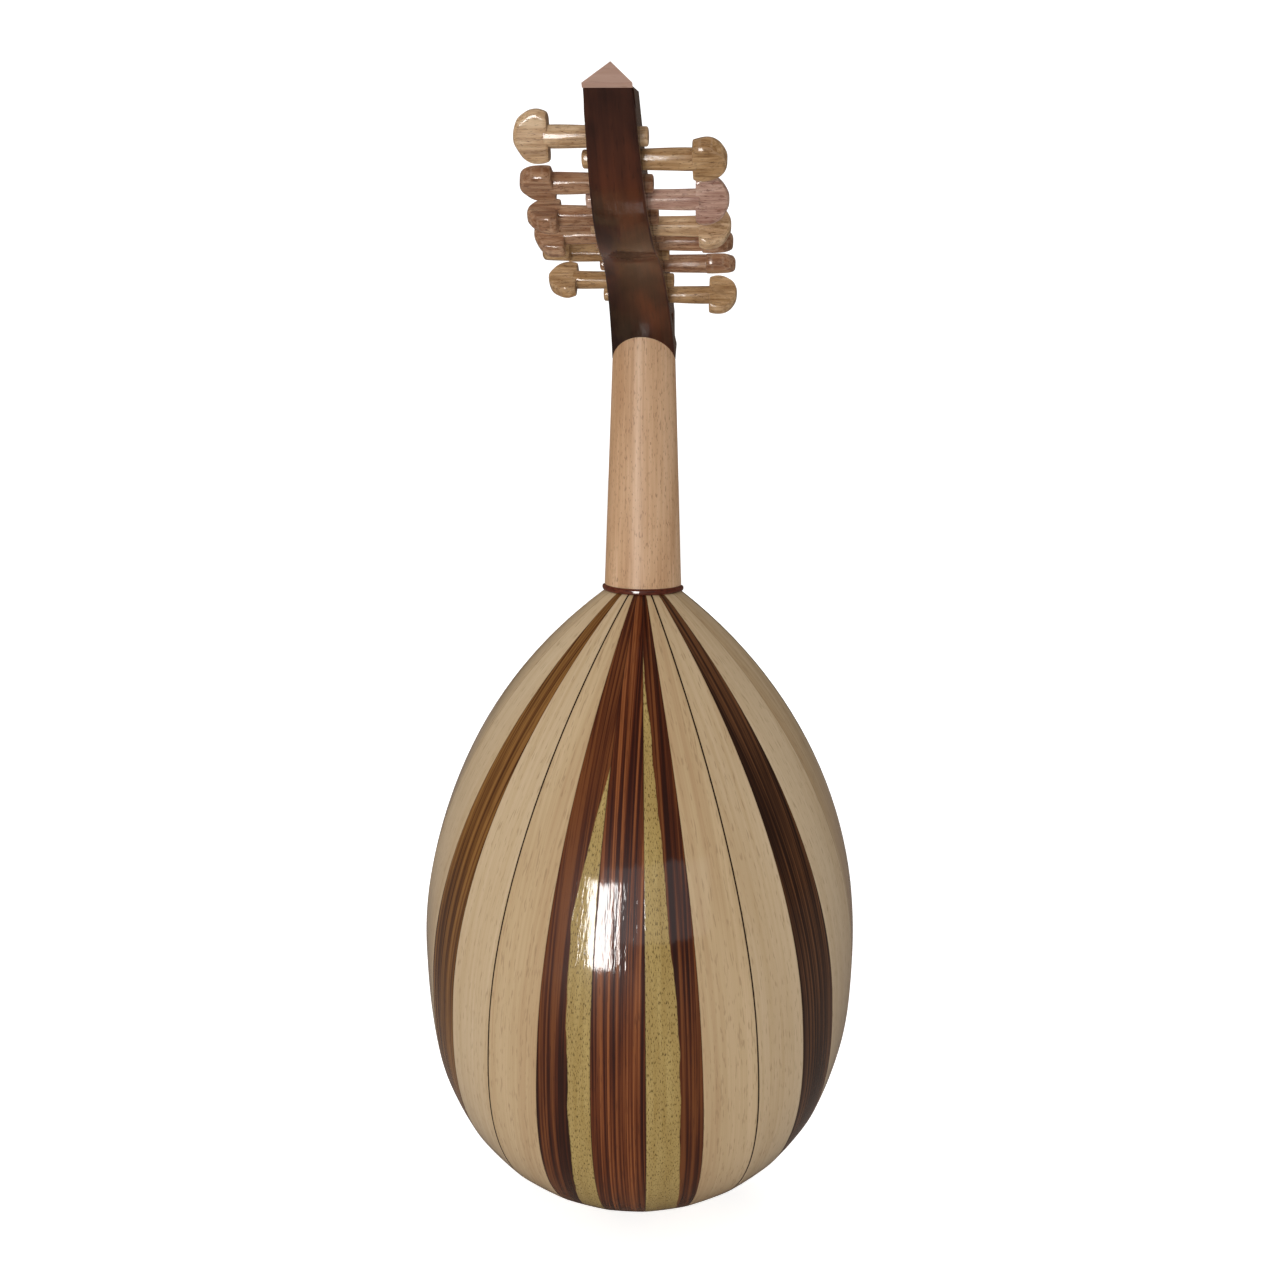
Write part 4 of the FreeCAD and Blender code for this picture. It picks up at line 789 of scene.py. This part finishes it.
@dataclass
class Peg:
    """One carved peg: a planed tapered shaft, a half-moon head and the string wound on it."""

    name: str
    side: int
    turn: float
    hue: PegHue
    seed: int
    big_radius: float = 0.0058
    taper: float = 0.02
    collar: float = 0.006
    tip_reach: float = 0.004
    head_half: float = 0.012
    head_length: float = 0.019
    head_thick: float = 0.010
    overlap: float = 0.002
    head_middle: float = 0.0078
    bevel_angle: float = 40.0
    softness: float = 26.0
    flats: int = 9
    flat_power: float = 18.0
    winding_turns: float = 4.0

    def __post_init__(self) -> None:
        """Read the peg's axis and reach from the frame."""
        joint = next(item for item in frame["joints"] if item["name"] == f"{self.name}_turn")
        low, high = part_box(self.name)
        self.centre = np.array([0.0, joint["pos_m"][1], joint["pos_m"][2]])
        tip = low.x if self.side > 0 else high.x
        crest = high.x if self.side > 0 else low.x
        self.tip = abs(tip)
        self.shaft_length = abs(crest - tip) - self.head_length + self.overlap
        turn = math.radians(self.turn)
        self.outward = np.array([float(self.side), 0.0, 0.0])
        self.wide = self.side * np.array([0.0, math.cos(turn), math.sin(turn)])
        self.thick = np.array([0.0, -math.sin(turn), math.cos(turn)])
        self.random = np.random.default_rng(self.seed)

    def placed(self, along: Array, wide: Array, thick: Array) -> Array:
        """Points given along the peg from its tip, across its head and through its thickness."""
        start = self.centre - self.outward * self.tip
        return (start + along[..., None] * self.outward + wide[..., None] * self.wide
                + thick[..., None] * self.thick)

    def radius(self, along: Array) -> Array:
        """Shaft radius: even over the collar by the head, then an even taper to the tip."""
        gone = np.maximum(self.shaft_length - along - self.collar, 0)
        return self.big_radius - self.taper * gone

    def carried(self, along: Array, wide: Array, thick: Array, rim: Array) -> dict[str, Array]:
        """Grain runs across the head and along the shaft; each peg has its own piece of wood."""
        offset = self.seed * 0.173
        return {"grain": np.stack([wide + offset, along, thick + offset], axis=-1), "rim": rim}

    def shaft(self) -> Solid:
        """A planed shaft: round a section the radius is that of a polygon with softened corners.

        The polygon's flats stay inside the taper, and they wander a little along the shaft. The
        tip's last half millimetre is rounded off.
        """
        flats = self.flats
        steps = np.linspace(0, 1, 60)
        along = np.concatenate([[0, 0.0002, 0.0006], 0.0012 + (self.shaft_length - 0.0012) * steps])
        turn = np.linspace(0, 2 * np.pi, 72, endpoint=False)
        facing = np.linspace(0, 2 * np.pi, flats, endpoint=False)
        facing += self.random.uniform(-0.16, 0.16, flats)
        sway = self.random.uniform(0, 6.28, flats)
        depth = 1 - 0.02 * (1 + np.sin(along[:, None] * 160 + sway[None]))
        lean = np.maximum(np.cos(turn[None, :, None] - facing[None, None]), 0)
        ratio = ((lean / depth[:, None]) ** self.flat_power).sum(-1) ** (-1 / self.flat_power)
        limit = self.radius(along)[:, None]
        drawn = np.minimum(limit * 0.985 * ratio, limit * 0.998)
        end = np.ones_like(along)
        end[:3] = (0.72, 0.86, 0.96)
        drawn = drawn * end[:, None]
        grid = np.broadcast_to(along[:, None], drawn.shape)
        wide, thick = drawn * np.cos(turn)[None], drawn * np.sin(turn)[None]
        rim = 0.75 + 0.25 * (ratio - ratio.min()) / (ratio.max() - ratio.min())
        return Solid.loft(self.placed(grid, wide, thick), self.carried(grid, wide, thick, rim * 0.93))

    def head(self) -> Solid:
        """A half-moon cut by knife planes.

        In each direction from the middle, the surface lies where the softened nearest plane does:
        one over the p-norm of direction dot normal over distance. The planes are two broad faces,
        the flat side by the shaft, the arc's facets and a bevel above and below each facet.
        """
        half, tall, thick = self.head_half, self.head_length, self.head_thick / 2
        arc = (half ** 2 + tall ** 2) / (2 * tall)
        middle = self.head_middle
        back = tall - arc - middle
        around = np.radians(np.arange(-112, 113, 28) + self.random.uniform(-5, 5, 9))
        crest = arc + back * np.cos(around) - self.random.uniform(0, 0.0005, 9)
        bevel = math.radians(self.bevel_angle)
        normals, gaps = [(0.0, 0.0, 1.0), (0.0, 0.0, -1.0), (-1.0, 0.0, 0.0)], [thick, thick, middle]
        tilt = self.random.uniform(-0.06, 0.06, 4)
        normals[0] = (tilt[0], tilt[1], 1.0)
        normals[1] = (tilt[2], tilt[3], -1.0)
        for angle, gap in zip(around, crest):
            normals.append((math.cos(angle), math.sin(angle), 0.0))
            gaps.append(gap)
            for way in (1, -1):
                cut = self.random.uniform(0.0006, 0.0018)
                normals.append((math.cos(angle) * math.cos(bevel), math.sin(angle) * math.cos(bevel),
                                way * math.sin(bevel)))
                gaps.append(gap * math.cos(bevel) + thick * math.sin(bevel) - cut)
        normals = np.array(normals)
        normals /= np.linalg.norm(normals, axis=1, keepdims=True)
        rows, columns = 48, 96
        rise = np.linspace(np.pi / 2, -np.pi / 2, rows + 2)[1:-1]
        turn = np.linspace(0, 2 * np.pi, columns, endpoint=False)
        ray = np.stack([np.cos(rise)[:, None] * np.cos(turn), np.cos(rise)[:, None] * np.sin(turn),
                        np.broadcast_to(0.42 * np.sin(rise)[:, None], (rows, columns))], axis=-1)
        pressed = np.maximum(ray @ normals.T, 0) / np.array(gaps)
        reach = (pressed ** self.softness).sum(-1) ** (-1 / self.softness)
        ordered = np.sort(pressed, axis=-1)
        rim = ordered[..., -2] / ordered[..., -1]
        local = ray * reach[..., None]
        along = self.shaft_length - self.overlap + middle + local[..., 0]
        wide, deep = local[..., 1], local[..., 2]
        values = self.carried(wide, along - self.shaft_length, deep, rim)
        values["grain"] = values["grain"][..., [1, 0, 2]]
        return Solid.loft(self.placed(along, wide, deep), values)

    def winding(self, place: float, radius: float) -> Solid:
        """The string's turns on the shaft: a helix of even pitch round the peg's axis.

        Args:
            place: X where the string meets the peg.
            radius: the string's radius.
        """
        turns = self.winding_turns
        swing = np.linspace(0, 2 * np.pi * turns, 132)
        x = place + (swing / (2 * np.pi) - turns / 2) * 2.08 * radius
        along = self.tip + x * self.side
        lift = self.radius(along) * 0.99 + radius
        path = np.stack([x, self.centre[1] + lift * np.cos(swing),
                         self.centre[2] + lift * np.sin(swing)], axis=-1)
        return swept_tube(path, radius, 8)

    def build(self) -> None:
        """Make the peg over its CAD node."""
        solid = self.shaft().facing_out().joined(self.head().facing_out())
        piece = solid.build(f"{self.name}_carved", 32.0)
        hand_over(piece, f"{self.name}_turning", "peg", Finishes.peg(self.name, self.hue), self.name)


@dataclass
class Strings:
    """Six courses of two strings: the CAD's taut lengths, dressed, and their turns on the pegs."""

    finishes: Finishes
    pegs: dict[str, Peg]
    spread: float = 0.033
    pair_gap: float = 0.0026
    thin: float = 0.00035
    thick: float = 0.0006
    gather: float = 0.68
    nut_half: float = 0.0214
    wall: float = 0.0045
    courses: int = 6
    first_wound: int = 3

    def build(self) -> None:
        """Dress every course and wind each string on its peg, from right to left."""
        order = [f"peg_right_{number}" for number in range(1, 7)]
        order += [f"peg_left_{number}" for number in range(6, 0, -1)]
        for index, label in enumerate(order):
            course = index // 2
            share = course / (self.courses - 1)
            peg = self.pegs[label]
            at_nut = self.spread * (share - 0.5) + (index % 2 - 0.5) * self.pair_gap
            half = peg.tip - peg.tip_reach
            place = at_nut * self.gather * (half - self.wall) / (self.nut_half - self.wall)
            radius = self.thin + (self.thick - self.thin) * share
            material = self.finishes.wound if course >= self.first_wound else self.finishes.nylon
            piece = peg.winding(place, radius).facing_out().build(f"{label}_winding", 60.0)
            hand_over(piece, f"{label}_turning", "string", material)
        for course in range(self.courses):
            dress(self.finishes.wound if course >= self.first_wound else self.finishes.nylon,
                  f"string_course_{course + 1}")


# ---------------------------------------------------------------- neck, pegbox and front

@dataclass
class Spine:
    """The pegbox's back and heel, carved as one surface.

    The back turns evenly through two arcs and ends straight. Near the seam every point is moved
    by the difference between the neck's arched section and the flat one, times a smooth step that
    falls from one to nothing along the heel.
    """

    apex: tuple[float, float] = (0.01915, -0.01909)
    foot: tuple[float, float] = (0.0, -0.033)
    seam_half: float = 0.02265
    turns: tuple[float, float, float] = (42.0, 86.0, 43.5)
    arcs: tuple[float, float, float] = (0.097, 0.0835, 0.040)
    halves: tuple[float, float] = (0.0214, 0.0127)
    thickness: float = 0.0035
    corner: float = 0.0012
    fade: float = 0.021
    heel_fill: float = 0.013
    tip_depth: float = 0.020
    bevel: float = 0.012
    columns: int = 49

    def curve(self) -> tuple[Array, Array, Array]:
        """Runs along the back, its points (Y and Z) and its headings, by adding up small steps."""
        end = sum(self.arcs)
        fine = np.linspace(0, end, 2400)
        marks = np.cumsum((0.0,) + self.arcs)
        heading = np.radians(np.interp(fine, marks, self.turns + self.turns[-1:]))
        step = np.stack([np.sin(heading), np.cos(heading)], axis=-1)
        pieces = (step[1:] + step[:-1]) / 2 * np.diff(fine)[:, None]
        walked = np.concatenate([[[0, 0]], np.cumsum(pieces, axis=0)])
        runs = np.concatenate([np.linspace(0, self.fade, 36), np.linspace(self.fade, end, 130)[1:]])
        middle = np.stack([np.interp(runs, fine, walked[:, 0] + self.apex[0]),
                           np.interp(runs, fine, walked[:, 1] + self.apex[1])], axis=-1)
        return runs, middle, np.interp(runs, fine, heading)

    def surface(self) -> Solid:
        """Sections of a flat plate with softened corners, arched at the seam."""
        runs, middle, heading = self.curve()
        chord = middle[-1] - middle[0]
        share = ((middle - middle[0]) @ chord) / (chord @ chord)
        half = (self.halves[0] + (self.halves[1] - self.halves[0]) * share)[:, None]
        across = np.sin(np.linspace(-1, 1, self.columns) * np.pi / 2)
        sweep = np.concatenate([across, across[::-1]])[None]
        level = np.concatenate([np.zeros(self.columns), np.ones(self.columns)])[None]
        over = np.maximum(np.abs(sweep) * half - half + self.corner, 0) / self.corner
        round_off = self.corner * (1 - np.sqrt(np.maximum(1 - over ** 2, 0)))
        filled = self.thickness + self.heel_fill * (1 - np.clip(runs / self.fade, 0, 1))[:, None]
        depth = level * filled + (1 - level) * round_off
        bevelled = np.clip((runs - runs[-1] + self.bevel) / self.bevel, 0, 1)[:, None]
        x = sweep * half * (1 - depth / self.tip_depth * bevelled)
        y = middle[:, :1] - depth * np.cos(heading)[:, None]
        z = middle[:, 1:] + depth * np.sin(heading)[:, None]
        rise = np.array(self.apex) - np.array(self.foot)
        height = np.hypot(*rise)
        radius = (self.seam_half ** 2 + height ** 2) / (2 * height)
        limit = math.asin(self.seam_half / radius)
        if height > radius:
            limit = np.pi - limit
        angle = sweep * limit
        sunk = radius * (1 - np.cos(angle)) / height
        stay = 1 - np.clip(runs / self.fade, 0, 1)
        stay = (stay ** 2 * (3 - 2 * stay))[:, None]
        x = x + stay * (radius * np.sin(angle) - sweep * self.halves[0])
        y = y - stay * sunk * rise[0]
        z = z - stay * sunk * rise[1]
        run = np.broadcast_to(runs[:, None], x.shape)
        return Solid.loft(np.stack([x, y, z], axis=-1), {"grain": np.stack([x, run, depth], axis=-1)})

    def build(self, material: bpy.types.Material) -> None:
        """Make the surface over the CAD's back plate."""
        piece = self.surface().facing_out().build("pegbox_back_carved", 40.0)
        hand_over(piece, ROOT_BODY, "pegbox", material, "pegbox_back")


@dataclass
class NeckAndPegbox:
    """The neck with its ring, board and nut, and the bent-back pegbox."""

    finishes: Finishes

    def build(self) -> None:
        """Dress each part."""
        dress(self.finishes.neck, "neck")
        dress(self.finishes.ring, "neck_ring")
        dress(self.finishes.fingerboard, "fingerboard")
        dress(self.finishes.nut, "nut")
        dress(self.finishes.pegbox, "pegbox_heel", "pegbox_wall_left", "pegbox_wall_right",
              "pegbox_end_block")
        Spine().build(self.finishes.spine)
        dress(self.finishes.tip, "pegbox_tip")


@dataclass
class Front:
    """The soundboard and what lies on it."""

    finishes: Finishes

    def build(self) -> None:
        """Dress each part."""
        dress(self.finishes.board, "soundboard_left", "soundboard_right")
        dress(self.finishes.binding, "edge_binding")
        dress(self.finishes.rosette, *[node for node in frame["nodes"] if node.startswith("rosette")])
        dress(self.finishes.guard, *[node for node in frame["nodes"] if "guard" in node])
        dress(self.finishes.bridge, "bridge")


# ---------------------------------------------------------------- studio

@dataclass
class Studio:
    """Pale floor, soft lights and the camera."""

    eye: Vector = Vector((-0.07103, 0.77141, -0.06868))
    ahead: Vector = Vector((0.05292, -0.96719, -0.24849))
    roll: float = 0.014
    lens: float = 29.074
    shift: tuple[float, float] = (-0.0310, 0.0285)
    floor_gap: float = 0.0015

    def camera(self) -> None:
        """A camera that looks at the instrument's back from a little above."""
        data = bpy.data.cameras.new("studio_camera")
        data.sensor_width = 36.0
        data.lens = self.lens
        data.shift_x, data.shift_y = self.shift
        data.clip_start = 0.01
        camera = bpy.data.objects.new("studio_camera", data)
        ahead = self.ahead.normalized()
        right = ahead.cross(Vector((0, 0, 1))).normalized()
        up = right.cross(ahead)
        turned = right * math.cos(self.roll) + up * math.sin(self.roll)
        above = up * math.cos(self.roll) - right * math.sin(self.roll)
        rows = Matrix((turned, above, -ahead)).transposed()
        camera.matrix_world = Matrix.Translation(self.eye) @ rows.to_4x4()
        bpy.context.scene.collection.objects.link(camera)
        bpy.context.scene.camera = camera

    def panel(self, name: str, place: Vector, target: Vector, size: tuple[float, float],
              radiance: float, colour: Colour = (1.0, 1.0, 1.0), mirrored: bool = False) -> None:
        """A rectangular soft light.

        Args:
            name: the light's name.
            place: its middle.
            target: what it faces.
            size: width and height in metres.
            radiance: brightness of its face; its power is pi times that times its area.
            colour: its colour.
            mirrored: whether it shows in the varnish only, or lights the wood only.
        """
        data = bpy.data.lights.new(name, "AREA")
        data.shape = "RECTANGLE"
        data.size, data.size_y = size
        data.energy = math.pi * size[0] * size[1] * radiance
        data.color = colour
        light = bpy.data.objects.new(name, data)
        facing = (target - place).to_track_quat("-Z", "Y")
        light.matrix_world = Matrix.Translation(place) @ facing.to_matrix().to_4x4()
        light.visible_glossy = mirrored
        light.visible_diffuse = not mirrored
        bpy.context.scene.collection.objects.link(light)

    def surroundings(self) -> None:
        """A world that is white behind the instrument, dim in reflections and soft as light."""
        world = bpy.data.worlds.new("studio_world")
        world.use_nodes = True
        tree = world.node_tree
        tree.nodes.clear()
        path = tree.nodes.new("ShaderNodeLightPath")
        shown, gloss, soft = (tree.nodes.new("ShaderNodeBackground") for _ in range(3))
        shown.inputs["Color"].default_value = (1.0, 1.0, 1.0, 1.0)
        shown.inputs["Strength"].default_value = 1.2
        gloss.inputs["Color"].default_value = (0.34, 0.25, 0.20, 1.0)
        gloss.inputs["Strength"].default_value = 0.3
        soft.inputs["Color"].default_value = (1.0, 0.98, 0.95, 1.0)
        soft.inputs["Strength"].default_value = 0.36
        first, second = tree.nodes.new("ShaderNodeMixShader"), tree.nodes.new("ShaderNodeMixShader")
        output = tree.nodes.new("ShaderNodeOutputWorld")
        links = tree.links
        links.new(path.outputs["Is Glossy Ray"], first.inputs["Fac"])
        links.new(soft.outputs["Background"], first.inputs[1])
        links.new(gloss.outputs["Background"], first.inputs[2])
        links.new(path.outputs["Is Camera Ray"], second.inputs["Fac"])
        links.new(first.outputs["Shader"], second.inputs[1])
        links.new(shown.outputs["Background"], second.inputs[2])
        links.new(second.outputs["Shader"], output.inputs["Surface"])
        bpy.context.scene.world = world

    def floor(self) -> None:
        """A plain pale floor just under the bowl's tail; reflections see it dark brown, a painted dark
        reflection, and the camera sees it glow white.
        """
        low = CAD_BOX[0].z - self.floor_gap
        corners = np.array([[-9, -9, low], [9, -9, low], [9, 9, low], [-9, 9, low]], float)
        mesh = bpy.data.meshes.new("floor")
        mesh.from_pydata(corners.tolist(), [], [(0, 1, 2, 3)])
        bench = Bench("floor_paint")
        speckle = bench.noise(bench.stretched(bench.position(), (40.0, 40.0, 40.0)), 2.0, 0.5)
        shade = bench.ramp(speckle, ((0.3, (0.86, 0.86, 0.86)), (0.7, (0.88, 0.88, 0.88))))
        path = bench.add("ShaderNodeLightPath")
        # Painted dark reflection: to glossy rays the floor is dark brown, so the bowl's varnish
        # reflects it dark.
        bench.join(bench.mixed(path.outputs["Is Glossy Ray"], shade, (0.22, 0.18, 0.16)),
                   bench.surface.inputs["Base Color"])
        bench.surface.inputs["Roughness"].default_value = 0.9
        bench.surface.inputs["Specular IOR Level"].default_value = 0.1
        bench.surface.inputs["Emission Color"].default_value = (1.0, 1.0, 1.0, 1.0)
        glow = bench.maths("MULTIPLY", path.outputs["Is Camera Ray"], 0.74)
        bench.join(glow, bench.surface.inputs["Emission Strength"])
        mesh.materials.append(bench.material)
        floor = bpy.data.objects.new("floor", mesh)
        bpy.context.scene.collection.objects.link(floor)

    def build(self) -> None:
        """Set the stage."""
        self.camera()
        self.surroundings()
        self.floor()
        bowl = Vector((0.0, 0.1, -0.42))
        self.panel("window", Vector((0.57, 2.1, -0.3)), bowl, (0.62, 1.0), 24.0,
                   (1.0, 0.98, 0.96), True)
        self.panel("wall_glow", Vector((-0.6, 2.6, 0.1)), bowl, (2.6, 1.0), 0.55,
                   (0.88, 0.94, 1.0), True)
        self.panel("window_soft", Vector((0.57, 2.1, -0.3)), bowl, (0.6, 0.75), 11.0, (1.0, 0.98, 0.96))
        self.panel("left_soft", Vector((2.4, 1.2, 0.9)), bowl, (1.2, 1.6), 1.6)
        self.panel("right_soft", Vector((-2.6, 0.9, 0.7)), bowl, (1.0, 1.6), 1.2)
        self.panel("top_soft", Vector((0.2, 0.5, 2.2)), bowl, (2.4, 2.0), 1.3)
        self.panel("front_soft", Vector((0.6, -2.4, 0.6)), bowl, (1.6, 1.6), 2.0)
        bpy.context.scene.view_settings.view_transform = "Standard"


PEG_TURNS = {"left": (129, -6, 110, 144, 14, 70), "right": (119, 0, 159, 110, 66, 24)}
PEG_HUES = {
    "left": (PegHue.GOLD, PegHue.GOLD, PegHue.BROWN, PegHue.BROWN, PegHue.BROWN, PegHue.TAN),
    "right": (PegHue.GOLD, PegHue.BROWN, PegHue.BROWN, PegHue.TAN, PegHue.PINK, PegHue.GOLD),
}


def make_pegs() -> dict[str, Peg]:
    """Every peg, made over its CAD node and listed by name."""
    pegs = {}
    for label, side in (("left", 1), ("right", -1)):
        for number, (turn, hue) in enumerate(zip(PEG_TURNS[label], PEG_HUES[label]), start=1):
            name = f"peg_{label}_{number}"
            peg = Peg(name, side, turn, hue, number * 7 + (3 if side > 0 else 50))
            peg.build()
            pegs[name] = peg
    return pegs


def main() -> None:
    """Build the instrument and its studio."""
    finishes = Finishes()
    Bowl(finishes).build()
    NeckAndPegbox(finishes).build()
    Front(finishes).build()
    Strings(finishes, make_pegs()).build()
    Studio().build()


if __name__ == "__main__":
    logging.basicConfig(level=logging.INFO, format="%(message)s")
    main()
